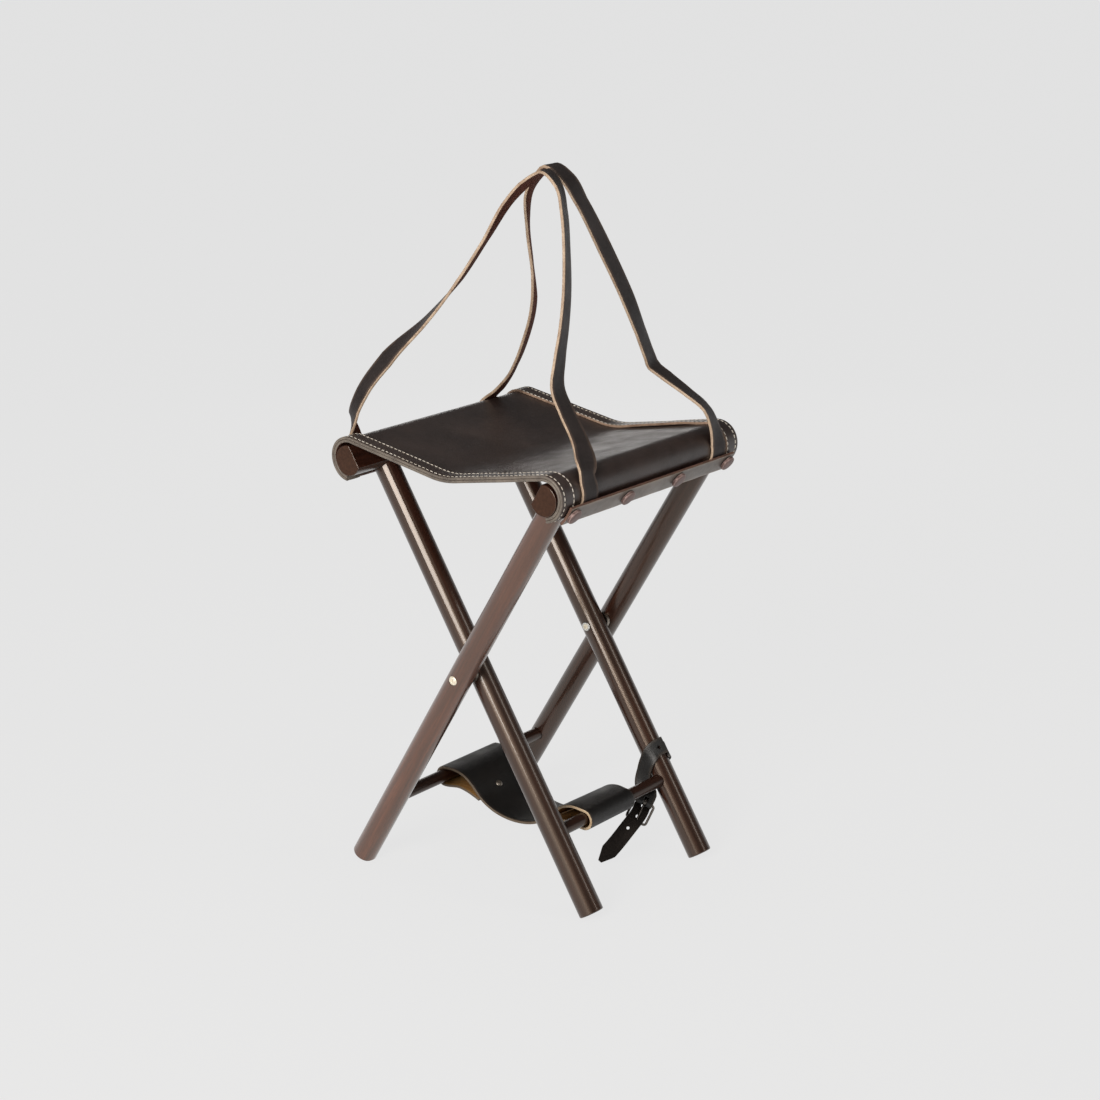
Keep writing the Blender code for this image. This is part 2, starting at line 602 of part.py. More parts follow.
def closing_strap(empty):
    """Belt that keeps the folded stool shut. Unfolded it hangs round the inner rear leg."""
    leg = Vector((0.0, -INNER_LEG_Y, 0.0))

    def outward(degrees):
        angle = math.radians(degrees)
        return Vector((-math.sin(angle), math.cos(angle), 0.0))

    def wrap(degrees, rise):
        return leg + outward(degrees) * WRAP_R + Vector((0.0, 0.0, STRETCHER_U + rise * MM))

    def spot(out, along, rise):
        return leg + Vector((0.0, 0.0, STRETCHER_U)) + Vector((out, along, rise)) * MM

    away = Vector((0.665, -0.743, 0.076))
    behind = Vector((1.0, 0.0, 0.0))
    points = [wrap(angle, rise) for angle, rise in BILLET_TURNS]
    points += [spot(*place_mm) for place_mm in BILLET_RUN]
    hints = [outward(angle) for angle, rise in BILLET_TURNS]
    hints += [outward(-118), behind, away, away, away, away]
    route, facing = smooth_path(points, 5.0 * MM, hints)
    across = [run.cross(face) for run, face in zip(tangents(route), facing)]
    halves = [BELT_W / 2] * (len(route) - 4) + [BELT_W * 0.47, BELT_W * 0.38, BELT_W * 0.28, BELT_W * 0.16]
    billet = sheet("closing_strap", ribbon_rows(route, across, halves, 2), BELT_T, empty, BLACK_LOOK)
    holes = []
    for reach in BILLET_HOLES:
        index = len(route) - 1
        gone = 0.0
        while gone < reach * MM:
            gone += (route[index] - route[index - 1]).length
            index -= 1
        face = facing[index].normalized()
        holes.append((route[index] - face * 6.0 * MM, route[index] + face * 6.0 * MM))
    cut(billet, rods("closing_strap_hole_cut", BELT_HOLE_R, holes, empty, 12))

    middle = points[7]
    run = (points[8] - points[6]).normalized()
    front = -(away - run * away.dot(run)).normalized()
    side = run.cross(front)
    heel = middle - run * BUCKLE_HALF_L + front * 6.7 * MM
    toe = middle + run * BUCKLE_HALF_L - front * 3.0 * MM
    slope = (toe - heel).normalized()
    square = Matrix((side, slope, side.cross(slope))).transposed().to_4x4()
    length = (toe - heel).length / 2
    curve = bpy.data.curves.new("buckle_frame", "CURVE")
    curve.dimensions = "3D"
    curve.bevel_depth = BUCKLE_WIRE
    curve.bevel_resolution = 2
    corner = 2.5 * MM
    outline = []
    for quarter, (sx, sy) in enumerate(((1, 1), (-1, 1), (-1, -1), (1, -1))):
        for step in range(4):
            angle = math.pi / 2 * (quarter + step / 3.0)
            outline.append((sx * (BUCKLE_HALF_W - corner) + corner * math.cos(angle),
                            sy * (length - corner) + corner * math.sin(angle)))
    line = curve.splines.new("POLY")
    line.points.add(len(outline) - 1)
    for knot, (x, y) in zip(line.points, outline):
        knot.co = (x, y, 0.0, 1.0)
    line.use_cyclic_u = True
    frame = place("buckle_frame", curve, empty, NICKEL_LOOK)
    frame.matrix_basis = Matrix.Translation((heel + toe) / 2) @ square

    loop = BUCKLE_WIRE + 2 * GAP + BELT_T / 2
    turns = [wrap(angle, rise) for angle, rise in CHAPE_TURNS]
    tail = turns[0] + outward(CHAPE_TURNS[0][0] + 90) * CHAPE_TAIL + Vector((0.0, 0.0, 1.0 * MM))
    points = [tail] + turns + [spot(*place_mm) for place_mm in CHAPE_RUN]
    points += [heel + front * (loop + 1.0 * MM) - run * 8.0 * MM, heel + front * loop - run * 3.0 * MM]
    forward = Vector((0.0, 1.0, 0.0))
    hints = [outward(50), outward(50), outward(25), forward, forward, (forward * 1.6 + front).normalized(),
             (forward * 0.15 + front).normalized(), front]
    for degrees in (0, 45, 90, 135, 180):
        angle = math.radians(degrees)
        hints.append(front * math.cos(angle) + run * math.sin(angle))
        points.append(heel + hints[-1] * loop)
    route, facing = smooth_path(points, 4.0 * MM, hints)
    across = [step.cross(face) for step, face in zip(tangents(route), facing)]
    rows = ribbon_rows(route, across, [BELT_W / 2] * len(route), 2)
    chape = sheet("buckle_strap", rows, BELT_T, empty, BLACK_LOOK)
    end = points[0] * 0.45 + points[1] * 0.55
    cut(chape, rods("buckle_strap_hole_cut", BELT_HOLE_R,
                    [(end - outward(50) * 6.0 * MM, end + outward(50) * 6.0 * MM)], empty, 12))
    slot = block("buckle_strap_slot_cut", (-2.2 * MM, -6.0 * MM, -8.0 * MM), (2.2 * MM, 12.0 * MM, 8.0 * MM),
                 empty)
    slot.matrix_basis = Matrix.Translation(heel) @ square
    cut(chape, slot)

    eye = PRONG_R + BUCKLE_WIRE + GAP
    bm = bmesh.new()
    bmesh.ops.create_cone(bm, cap_ends=True, segments=20, radius1=eye + PRONG_R, radius2=eye + PRONG_R,
                          depth=2.4 * MM, matrix=Matrix.Rotation(math.pi / 2, 4, "Y"))
    prong = mesh_piece("buckle_prong", bm, empty, NICKEL_LOOK)
    prong.matrix_basis = Matrix.Translation(heel) @ square
    tip = rod("buckle_prong_tip", PRONG_R, (0.0, eye * 0.8, 0.5 * MM), (0.0, 2 * length - 1.0 * MM, 6.0 * MM),
              prong, None, 12)
    cut(prong, tip, "UNION")
    wide = 5.0 * MM
    bore = rod("buckle_prong_cut", BUCKLE_WIRE + GAP, (-wide, 0.0, 0.0), (wide, 0.0, 0.0), prong, None, 20)
    cut(prong, bore)


clear_scene()
STOOL = new_collection("hunting_stool")
CUTTERS = new_collection("cutters")
FLOOR_CUT = block("floor_cut", (-0.4, -0.4, -0.1), (0.4, 0.4, 0.0), None)
OUTER = frame_empty("outer_frame", 0.0)
INNER = frame_empty("inner_frame", math.pi)
outer_legs, outer_notch = wooden_frame("outer", OUTER, OUTER_LEG_Y, ("outer_front_leg", "outer_rear_leg"))
inner_legs, inner_notch = wooden_frame("inner", INNER, INNER_LEG_Y, ("inner_rear_leg", "inner_front_leg"))
pivot("front", -1.0, outer_legs[0], inner_legs[1])
pivot("rear", 1.0, outer_legs[1], inner_legs[0])
right_holes = clamp("right", OUTER)
left_holes = clamp("left", INNER)
seat([right_holes, left_holes, outer_notch, inner_notch])
carry_strap("front_carry_strap", FRONT_RIGHT, FRONT_LEFT, -STRAP_FRONT_Y, -STRAP_FAR_Y, -STRAP_APEX_Y)
carry_strap("rear_carry_strap", REAR_RIGHT, REAR_LEFT, STRAP_FAR_Y, STRAP_NEAR_Y, STRAP_APEX_Y)
sling()
closing_strap(INNER)
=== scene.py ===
"""Dresses the folding hunting stool: leather, stitching, lacquered wood and metal, camera and light."""

import math

import bmesh
import bpy
from mathutils import Matrix, Vector, noise


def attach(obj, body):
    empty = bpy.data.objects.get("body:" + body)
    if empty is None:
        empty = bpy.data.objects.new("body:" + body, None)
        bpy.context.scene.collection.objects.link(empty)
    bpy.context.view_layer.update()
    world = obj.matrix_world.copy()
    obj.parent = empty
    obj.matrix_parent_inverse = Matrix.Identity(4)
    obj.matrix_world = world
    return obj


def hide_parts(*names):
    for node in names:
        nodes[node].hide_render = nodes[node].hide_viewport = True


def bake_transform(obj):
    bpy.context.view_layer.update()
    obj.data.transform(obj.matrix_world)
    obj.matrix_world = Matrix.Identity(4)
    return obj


MM = 0.001

# Sizes repeated from the part's source
SPLAY = math.radians(31.83)
PIVOT_Z = 236.6 * MM
LEG_R = 13.0 * MM
OUTER_LEG_Y = 124.6 * MM
INNER_LEG_Y = 94.2 * MM
RAIL_V = -3.0 * MM
RAIL_U = 247.4 * MM
RAIL_R = 16.0 * MM
GAP = 0.3 * MM
LEATHER = 3.0 * MM
HEM_T = 2.7 * MM
HEM_WIDTH = 20.0 * MM
SEAT_HALF = 145.5 * MM
SEAT_END = math.radians(-50.0)
SEAT_SLOPE = math.radians(10.2)
SEAT_ROUND = 90.0 * MM + LEATHER / 2
SEAT_LIFT = 2.6 * MM
LIFT_FROM = math.radians(-40.0)
LIFT_TO = math.radians(60.0)
STRIP_T = 3.0 * MM
STRIP_LOW = 13.0 * MM
STRIP_HIGH = 10.0 * MM
STRIP_BOW = 60.0 * MM
STRIP_R = 25.9 * MM
STRIP_Y = (-134.0 * MM, 135.0 * MM)
NOTCH_TOP = 4.0 * MM
SCREW_Y = (-126.5 * MM, -42.0 * MM, 42.5 * MM, 127.0 * MM)
SCREW_ANGLE = math.radians(-3.0)
SCREW_HEAD_R = 8.5 * MM
STRAP_W = 23.0 * MM
STRAP_T = 3.0 * MM
STRAP_NEAR_Y = 92.0 * MM
STRAP_FRONT_Y = 101.3 * MM
STRAP_FAR_Y = 112.0 * MM
STRAP_APEX_Y = 12.0 * MM
STRAP_RISE = 289.6 * MM
STRAP_FOOT = 19.6 * MM
STRAP_END = math.radians(-31.0)
STRETCHER_U = -183.0 * MM
STRETCHER_R = 6.9 * MM
SLING_T = 3.0 * MM
SLING_BORE = 8.5 * MM
SLING_SAG = 27.3 * MM
SLING_RIVET_IN = 46.0 * MM
SLING_RIVET_DROP = 8.4 * MM
SLING_RIVET_Y = -10.0 * MM
RIVET_HEAD_R = 4.0 * MM
RIVET_R = 2.0 * MM
BELT_W = 18.0 * MM
BELT_T = 2.2 * MM
BELT_HOLE_R = 1.7 * MM
WRAP_R = LEG_R + 0.7 * MM + BELT_T / 2
BUCKLE_WIRE = 1.4 * MM
BUCKLE_HALF_L = 10.0 * MM
BOLT_R = 3.0 * MM
BOLT_HEAD_R = 5.0 * MM
BOLT_HEAD_T = 2.2 * MM
BOLT_SINK = 1.5 * MM
SCREW_R = 2.2 * MM

# Routes repeated from the part's source, in mm. The third number of a strap point is the strap's turn in
# degrees, the fourth its shift along the rails
FRONT_RIGHT = (30.0, ((17.2, 21.0, 7, 0.5), (2.0, 35.0, -7, 11.4), (-8.9, 47.6, 1, 12.4),
                      (-27.2, 67.6, 4, 11.7), (-41.3, 89.6, 8, 7.3), (-45.0, 117.6, 13, 6.0),
                      (-46.2, 145.6, 18, 5.0)),
               ((78.7, -116.0, 21, 4.0), (68.7, -71.0, 26, 2.4), (57.2, -35.0, 27, 1.2),
                (47.9, -16.0, 29, 0.6), (23.8, 0.3, 20, 0.1)))
FRONT_LEFT = (10.0, ((22.3, 14.0, 5), (20.6, 25.0, 30, -5.0), (16.3, 39.0, 61, -14.0),
                     (15.0, 59.0, 72, -10.5), (-5.1, 96.6, 79, -5.0), (-43.6, 138.2, 47, -1.5)),
              ((53.7, -110.0, 26), (31.6, -70.0, 25), (11.2, -30.0, 12), (-3.5, -13.5, 2)))
REAR_RIGHT = (18.0, ((18.0, 25.6, 16), (12.7, 45.6, 25), (-6.3, 60.6, 20), (-30.5, 76.6, 9), (-43.7, 86.6, 9),
                     (-45.8, 97.6, 14), (-49.7, 123.6, 14), (-55.2, 155.6, 7)),
              ((58.4, -81.0, 4), (42.7, -33.0, 8), (32.0, -9.0, -1), (13.5, 3.0, 2)))
REAR_LEFT = (50.0, ((-4.8, 33.6, 14), (-30.3, 58.6, 28), (-57.8, 96.6, 26), (-81.0, 141.6, 28)),
             ((39.2, -112.0, 38), (32.6, -63.0, 35), (20.7, -27.0, 23), (2.6, -8.0, 14)))
SLING_FLAP = ((49.0, -16.1), (40.5, -12.8), (30.5, -9.9), (20.5, -8.5), (9.5, -10.1))
SLING_BELLY = ((12.5, 9.5), (26.5, 6.7), (39.1, -1.7), (52.1, -14.2), (66.5, -22.1), (81.5, -26.1))
BILLET_TURNS = ((-245, 27.0), (-220, 26.0), (-195, 24.0), (-170, 22.0), (-145, 19.0))
BILLET_RUN = ((16.4, -6.8, 14.0), (20.6, 5.2, 2.0), (23.2, 34.2, -22.0), (27.9, 56.2, -31.5),
              (43.5, 70.2, -42.0), (59.6, 84.2, -51.0))
BILLET_HOLES = (46.0, 62.0, 78.0, 94.0)
CHAPE_TURNS = ((50, 32.0), (25, 28.5), (0, 24.0))
CHAPE_RUN = ((9.0, 15.8, 15.5), (16.4, 18.0, 4.0))
CHAPE_TAIL = 13.0 * MM

# Foot sling as photographed: its edges at the outer and the inner stretcher, and the rear edge's dip
SLING_NEAR = (-46.0 * MM, -48.0 * MM)
SLING_FAR = (44.0 * MM, 26.0 * MM)
SLING_DIP = 9.0 * MM

# Leather: rounding of the cut edges, worn margin, unevenness
ROUND_EDGE = 0.7 * MM
HIDE_ROUND = 0.9 * MM
STRIP_ROUND = 0.8 * MM
BELT_ROUND = 0.5 * MM
WORN_WIDTH = 2.5 * MM
SEAT_STEPS = (30, 34, 8)
RIPPLE = 0.55 * MM
RIPPLE_CLEAR = 6.0 * MM
RIPPLE_FADE = 45.0 * MM
STRIP_WAVE = 0.25 * MM
SCREW_DENT = 0.35 * MM
SCREW_DENT_R = 9.5 * MM
EDGE_LEFT_BLEND = (45.0 * MM, 85.0 * MM)

# Hem and stitching
HEM_REST = 0.05 * MM
HEM_STATIONS = (2.4 * MM, 8.0 * MM, 11.5 * MM, 15.0 * MM)
HEM_CURL = 1.3 * MM
CURL_START = 9.0 * MM
CURL_RISE = (12.0 * MM, 40.0 * MM)
CURL_FALL = (116.0 * MM, 24.0 * MM)
STITCH_ROWS = (4.6 * MM, 18.2 * MM)
STITCH_PITCH = 5.5 * MM
STITCH_LONG = 3.9 * MM
STITCH_R = 0.55 * MM
STITCH_RISE = 0.15 * MM
STITCH_SIDES = 7
GROOVE = 0.35 * MM
GROOVE_HALF = 0.9 * MM

# Closing strap
BELT_AWAY = Vector((0.665, -0.743, 0.076))
BILLET_TAPER = 14.0 * MM
TIP_SHARE = 0.24
HOLE_REACH = 6.0 * MM
BUCKLE_HEEL = 6.7 * MM
BUCKLE_TOE = 3.0 * MM
PRONG_SLOT = (4.4 * MM, 18.0 * MM, 16.0 * MM, 1.0)

# Turned heads: shares of the radius, and heights in mm
SCREW_DOME = ((0.93, 0.0), (0.985, 0.4), (1.0, 1.1), (0.995, 2.3), (0.96, 3.0), (0.88, 3.5), (0.74, 3.85),
              (0.45, 4.0), (0.0, 4.05))
SCREW_SHANK = 8.0 * MM
RIVET_DOME = ((0.96, 0.0), (1.0, 0.1), (0.96, 0.45), (0.84, 0.85), (0.6, 1.2), (0.3, 1.36), (0.0, 1.4))
RIVET_BACK = 10.8 * MM
BOLT_DOME = ((1.0, 0.5), (0.97, 0.9), (0.86, 1.45), (0.66, 1.85), (0.36, 2.12), (0.0, 2.2))
BOLT_PAST = 2.2 * MM
BOLT_SLOT = (4.6 * MM, 1.0 * MM, 0.8 * MM, 1.0)

# Wood: reach for joining its faces, and the rounding of its edges
WELD_REACH = 0.005 * MM
RAIL_SOFT = 1.2 * MM
BAR_SOFT = 0.8 * MM

# Camera fitted to the photograph
CAMERA_AT = (1.5057, -1.8269, 1.0488)
CAMERA_AZIMUTH = math.radians(39.175)
CAMERA_ELEVATION = math.radians(16.623)
CAMERA_ROLL = math.radians(-0.599)
CAMERA_LENS = 77.635

# Floor, and sky by the sine of its height above the horizon
FLOOR_HALF = 40.0
FLOOR_DROP = 0.5 * MM
FLOOR_GLOW = 0.93
BACKDROP = 0.81
SKY_PALE, SKY_LIGHT = 0.76, 0.08
SKY_BAND = (math.sin(math.radians(8.0)), math.sin(math.radians(12.0)))

def srgb(red, green, blue):
    """Linear colour from 8-bit screen values."""
    parts = [value / 255.0 for value in (red, green, blue)]
    return [part / 12.92 if part <= 0.04045 else ((part + 0.055) / 1.055) ** 2.4 for part in parts] + [1.0]


# Materials

class Nodes:
    """Short calls for the nodes of a material or of the world."""

    def __init__(self, tree):
        self.nodes, self.links = tree.nodes, tree.links

    def join(self, source, target):
        self.links.new(source, target)

    def feed(self, value, target):
        """Join a socket, or set a plain value."""
        if isinstance(value, bpy.types.NodeSocket):
            self.join(value, target)
        else:
            target.default_value = value

    def span(self, source, low, high, to_low, to_high):
        made = self.nodes.new("ShaderNodeMapRange")
        for name, value in (("From Min", low), ("From Max", high), ("To Min", to_low), ("To Max", to_high)):
            made.inputs[name].default_value = value
        self.join(source, made.inputs["Value"])
        return made.outputs["Result"]

    def math(self, operation, first, second):
        made = self.nodes.new("ShaderNodeMath")
        made.operation = operation
        self.feed(first, made.inputs[0])
        self.feed(second, made.inputs[1])
        return made.outputs["Value"]

    def split(self, vector):
        made = self.nodes.new("ShaderNodeSeparateXYZ")
        self.join(vector, made.inputs["Vector"])
        return made.outputs

    def shown(self):
        """One where the camera sees a surface, straight, in a shine or through glass; otherwise zero."""
        rays = self.nodes.new("ShaderNodeLightPath").outputs
        seen = self.math("MAXIMUM", rays["Is Camera Ray"], rays["Is Glossy Ray"])
        return self.math("MAXIMUM", seen, rays["Is Transmission Ray"])


class Look(Nodes):
    """A Principled material and the nodes that feed it."""

    def __init__(self, name, roughness=0.5, metallic=0.0):
        self.mat = bpy.data.materials.new(name)
        self.mat.use_nodes = True
        super().__init__(self.mat.node_tree)
        self.shader = self.nodes["Principled BSDF"]
        self.set(Roughness=roughness, Metallic=metallic)
        self.place = self.nodes.new("ShaderNodeTexCoord").outputs["Object"]

    def set(self, **values):
        for name, value in values.items():
            self.shader.inputs[name.replace("_", " ")].default_value = value

    def stretch(self, scale, turn=(0.0, 0.0, 0.0)):
        """Object coordinates turned, then stretched along the turned axes."""
        spin = self.nodes.new("ShaderNodeMapping")
        spin.vector_type = "TEXTURE"
        spin.inputs["Rotation"].default_value = turn
        self.join(self.place, spin.inputs["Vector"])
        pull = self.nodes.new("ShaderNodeMapping")
        pull.inputs["Scale"].default_value = scale
        self.join(spin.outputs["Vector"], pull.inputs["Vector"])
        return pull.outputs["Vector"]

    def noise(self, scale, detail=3.0, rough=0.5, where=None):
        made = self.nodes.new("ShaderNodeTexNoise")
        made.inputs["Scale"].default_value = scale
        made.inputs["Detail"].default_value = detail
        made.inputs["Roughness"].default_value = rough
        self.join(where or self.place, made.inputs["Vector"])
        return made.outputs["Fac"]

    def cells(self, scale, feature="F1", where=None):
        made = self.nodes.new("ShaderNodeTexVoronoi")
        made.feature = feature
        made.inputs["Scale"].default_value = scale
        self.join(where or self.place, made.inputs["Vector"])
        return made.outputs["Distance"]

    def ramp(self, source, *stops):
        made = self.nodes.new("ShaderNodeValToRGB")
        band = made.color_ramp.elements
        while len(band) < len(stops):
            band.new(0.5)
        for stop, (position, colour) in zip(band, stops):
            stop.position = position
            stop.color = colour
        self.join(source, made.inputs["Fac"])
        return made.outputs["Color"]

    def mix(self, share, first, second):
        made = self.nodes.new("ShaderNodeMix")
        made.data_type = "RGBA"
        colours = [socket for socket in made.inputs if socket.type == "RGBA"]
        self.feed(share, made.inputs["Factor"])
        self.feed(first, colours[0])
        self.feed(second, colours[1])
        return [socket for socket in made.outputs if socket.type == "RGBA"][0]

    def attribute(self, name):
        made = self.nodes.new("ShaderNodeAttribute")
        made.attribute_name = name
        return made.outputs["Fac"]

    def bump(self, height, distance, strength=1.0, before=None):
        made = self.nodes.new("ShaderNodeBump")
        made.inputs["Distance"].default_value = distance
        made.inputs["Strength"].default_value = strength
        self.join(height, made.inputs["Height"])
        if before:
            self.join(before, made.inputs["Normal"])
        return made.outputs["Normal"]

    def finish(self, colour=None, roughness=None, normal=None):
        for value, name in ((colour, "Base Color"), (roughness, "Roughness"), (normal, "Normal")):
            if value is not None:
                self.join(value, self.shader.inputs[name])
        return self.mat


def hide_look(name, dark, mid, light, worn, rough=(0.34, 0.52), grain=1.0, shine=0.45):
    """Grain side of vegetable-tanned hide: cloudy dye, pores, creases and paler worn edges."""
    look = Look(name)
    look.set(Specular_IOR_Level=shine)
    cloud = look.noise(16.0, 4.0, 0.55)
    fleck = look.noise(260.0, 3.0, 0.6)
    dye = look.ramp(cloud, (0.30, dark), (0.52, mid), (0.74, light))
    dye = look.mix(look.span(fleck, 0.42, 0.72, 0.0, 0.35), dye, light)
    patches = look.span(look.noise(90.0, 3.0), 0.35, 0.65, 0.35, 1.0)
    dye = look.mix(look.math("MULTIPLY", look.attribute("wear"), patches), dye, worn)
    pores = look.cells(950.0, "SMOOTH_F1")
    crease = look.noise(140.0, 5.0, 0.65, look.stretch((1.0, 0.55, 1.0)))
    normal = look.bump(pores, 0.00022 * grain, 0.55)
    normal = look.bump(crease, 0.0011 * grain, 0.22, normal)
    gloss = look.span(look.noise(45.0, 5.0, 0.62), 0.3, 0.7, *rough)
    return look.finish(dye, gloss, normal)


def flesh_look(name, dark, light):
    """Flesh side of the hide: short fibres, no shine."""
    look = Look(name, 0.85)
    look.set(Specular_IOR_Level=0.2)
    nap = look.noise(700.0, 6.0, 0.7)
    cloud = look.noise(60.0, 4.0, 0.6)
    tone = look.ramp(look.math("MULTIPLY", nap, look.math("ADD", cloud, 0.5)), (0.28, dark), (0.72, light))
    return look.finish(tone, None, look.bump(nap, 0.0005, 0.5))


def edge_look(name, dark, light, left_colour=None):
    """Cut edge of the hide: pressed fibre layers. The optional last colour is the edges' colour away from the
    right-hand side.
    """
    look = Look(name, 0.6)
    layer = look.noise(420.0, 5.0, 0.7)
    blotch = look.noise(70.0, 3.0, 0.5)
    tone = look.ramp(look.math("ADD", look.math("MULTIPLY", layer, 0.5), look.math("MULTIPLY", blotch, 0.5)),
                     (0.34, dark), (0.62, light))
    if left_colour:
        tone = look.mix(look.span(look.split(look.place)["X"], *EDGE_LEFT_BLEND, 0.85, 0.0), tone, left_colour)
    return look.finish(tone, look.span(layer, 0.3, 0.7, 0.48, 0.74), look.bump(layer, 0.0003, 0.45))


def wood_look(name, turn, ends=False, shine=0.7, tone=0.8):
    """Dark stained beech under clear lacquer, with the grain along the piece's length. ends gives the rails'
    end grain its own duller, redder tone."""

    def stained(*parts):
        return srgb(*[part * tone for part in parts])

    look = Look(name)
    coat, gleam = 0.75 * shine, 0.9 * shine
    look.set(Coat_Weight=coat, Coat_Roughness=0.13, Specular_IOR_Level=gleam,
             Specular_Tint=(1.0, 0.80, 0.62, 1.0))
    along = look.stretch((1.0, 1.0, 0.035), turn)
    streak = look.noise(230.0, 6.0, 0.62, along)
    broad = look.noise(42.0, 3.0, 0.5, look.stretch((1.0, 1.0, 0.07), turn))
    fleck = look.cells(520.0, "F1", look.stretch((1.0, 1.0, 0.10), turn))
    stain = look.ramp(streak, (0.30, stained(38, 17, 11)), (0.52, stained(64, 33, 22)),
                      (0.78, stained(92, 53, 37)))
    stain = look.mix(look.span(broad, 0.35, 0.7, 0.0, 0.6), stain, stained(46, 20, 13))
    stain = look.mix(look.span(fleck, 0.0, 0.35, 0.45, 0.0), stain, stained(26, 12, 8))
    gloss = look.span(broad, 0.3, 0.7, 0.30, 0.42)
    if ends:
        facing = look.split(look.nodes.new("ShaderNodeTexCoord").outputs["Normal"])
        end = look.span(look.math("ABSOLUTE", facing["Y"], 0.0), 0.90, 0.97, 0.0, 1.0)
        rings = look.noise(330.0, 5.0, 0.6)
        grain = look.ramp(rings, (0.30, srgb(50, 32, 24)), (0.70, srgb(68, 45, 34)))
        stain = look.mix(end, stain, grain)
        look.join(look.span(end, 0.0, 1.0, coat, 0.0), look.shader.inputs["Coat Weight"])
        look.join(look.span(end, 0.0, 1.0, gleam, 0.2), look.shader.inputs["Specular IOR Level"])
    normal = look.bump(broad, 0.0002, 0.05)
    return look.finish(stain, gloss, normal)


def metal_look(name, base, dull, rough=(0.22, 0.42), metallic=1.0):
    """Plated metal with fine brushing and a little tarnish."""
    look = Look(name, 0.3, metallic)
    haze = look.noise(320.0, 5.0, 0.65)
    brush = look.noise(900.0, 3.0, 0.5, look.stretch((1.0, 0.2, 1.0)))
    tone = look.mix(look.span(haze, 0.48, 0.72, 0.0, 0.7), base, dull)
    return look.finish(tone, look.span(haze, 0.3, 0.7, *rough), look.bump(brush, 0.00012, 0.25))


def painted_look(name):
    """Screw heads: brown japanned metal, rubbed paler on the rim."""
    look = Look(name, 0.45, 0.35)
    haze = look.noise(240.0, 5.0, 0.6)
    tone = look.ramp(haze, (0.30, srgb(84, 62, 58)), (0.55, srgb(118, 94, 89)), (0.80, srgb(146, 122, 116)))
    patches = look.span(look.noise(500.0, 2.0), 0.3, 0.7, 0.3, 1.0)
    tone = look.mix(look.math("MULTIPLY", look.attribute("wear"), patches), tone, srgb(172, 152, 146))
    return look.finish(tone, look.span(haze, 0.3, 0.7, 0.34, 0.55), look.bump(haze, 0.0003, 0.3))


def thread_look(name):
    look = Look(name, 0.7)
    strand = look.noise(1400.0, 3.0, 0.6)
    soil = look.noise(110.0, 3.0, 0.6)
    tone = look.ramp(soil, (0.30, srgb(176, 166, 150)), (0.60, srgb(222, 216, 204)))
    return look.finish(tone, None, look.bump(strand, 0.0002, 0.6))


# Mesh builders

def make(name, bm, looks, smooth=45.0):
    mesh = bpy.data.meshes.new(name)
    bmesh.ops.recalc_face_normals(bm, faces=bm.faces)
    bm.to_mesh(mesh)
    bm.free()
    for face in mesh.polygons:
        face.use_smooth = True
    mesh.set_sharp_from_angle(angle=math.radians(smooth))
    obj = bpy.data.objects.new(name, mesh)
    bpy.context.scene.collection.objects.link(obj)
    for look in looks:
        mesh.materials.append(look)
    return obj


def leather(name, grid, normals, across, looks, thick, round_edge=ROUND_EDGE, above=None, last_edge=1):
    """Closed sheet through a grid of middle points, with rounded long edges and square ends.

    looks are the grain side, the cut edge and the flesh side. above gives the sheet's height over the middle
    point by point, where it isn't half its thickness. last_edge is the look of the last column's edge."""
    bm = bmesh.new()
    wear = bm.verts.layers.float.new("wear")
    last = len(grid[0]) - 1
    down = thick / 2
    rings = []
    for i, row in enumerate(grid):
        up = above[i] if above else [down] * len(row)
        tops = [bm.verts.new(p + n * h) for p, n, h in zip(row, normals[i], up)]
        feet = [bm.verts.new(p - n * down) for p, n in zip(row, normals[i])]
        sides = []
        for j, sign in ((last, 1.0), (0, -1.0)):
            arc = []
            for tilt in (60.0, 25.0, -25.0, -60.0):
                turn = math.radians(tilt)
                centre = up[j] - round_edge if tilt > 0 else round_edge - down
                arc.append(bm.verts.new(row[j] + across[i] * sign * round_edge * math.cos(turn)
                                        + normals[i][j] * (centre + round_edge * math.sin(turn))))
            sides.append(arc)
        for j, vert in enumerate(tops):
            reach = min((row[j] - row[0]).length, (row[j] - row[last]).length)
            vert[wear] = max(0.0, 1.0 - reach / WORN_WIDTH)
        for vert in sides[0] + sides[1]:
            vert[wear] = 1.0
        rings.append((tops, sides[0], feet, sides[1]))

    def face(corners, index):
        bm.faces.new(corners).material_index = index

    for (t0, r0, f0, l0), (t1, r1, f1, l1) in zip(rings, rings[1:]):
        for j in range(last):
            face((t0[j], t0[j + 1], t1[j + 1], t1[j]), 0)
            face((f0[j], f1[j], f1[j + 1], f0[j + 1]), 2)
        for first, second, look in (([t0[last]] + r0 + [f0[last]], [t1[last]] + r1 + [f1[last]], last_edge),
                                    ([t0[0]] + l0 + [f0[0]], [t1[0]] + l1 + [f1[0]], 1)):
            for k in range(len(first) - 1):
                face((first[k], first[k + 1], second[k + 1], second[k]), {0: 0, 4: 2}.get(k, look))
    for tops, right, feet, left in (rings[0], rings[-1]):
        for j in range(last):
            face((tops[j], tops[j + 1], feet[j + 1], feet[j]), 1)
        face([tops[last]] + right + [feet[last]], 1)
        face([feet[0]] + left[::-1] + [tops[0]], 1)
    return make(name, bm, looks)


def spread(low, high, count):
    return [low + (high - low) * k / count for k in range(count + 1)]


def runs(route):
    """Direction of a route at each of its points."""
    ends = [route[0]] + route + [route[-1]]
    return [after - before for before, after in zip(ends, ends[2:])]


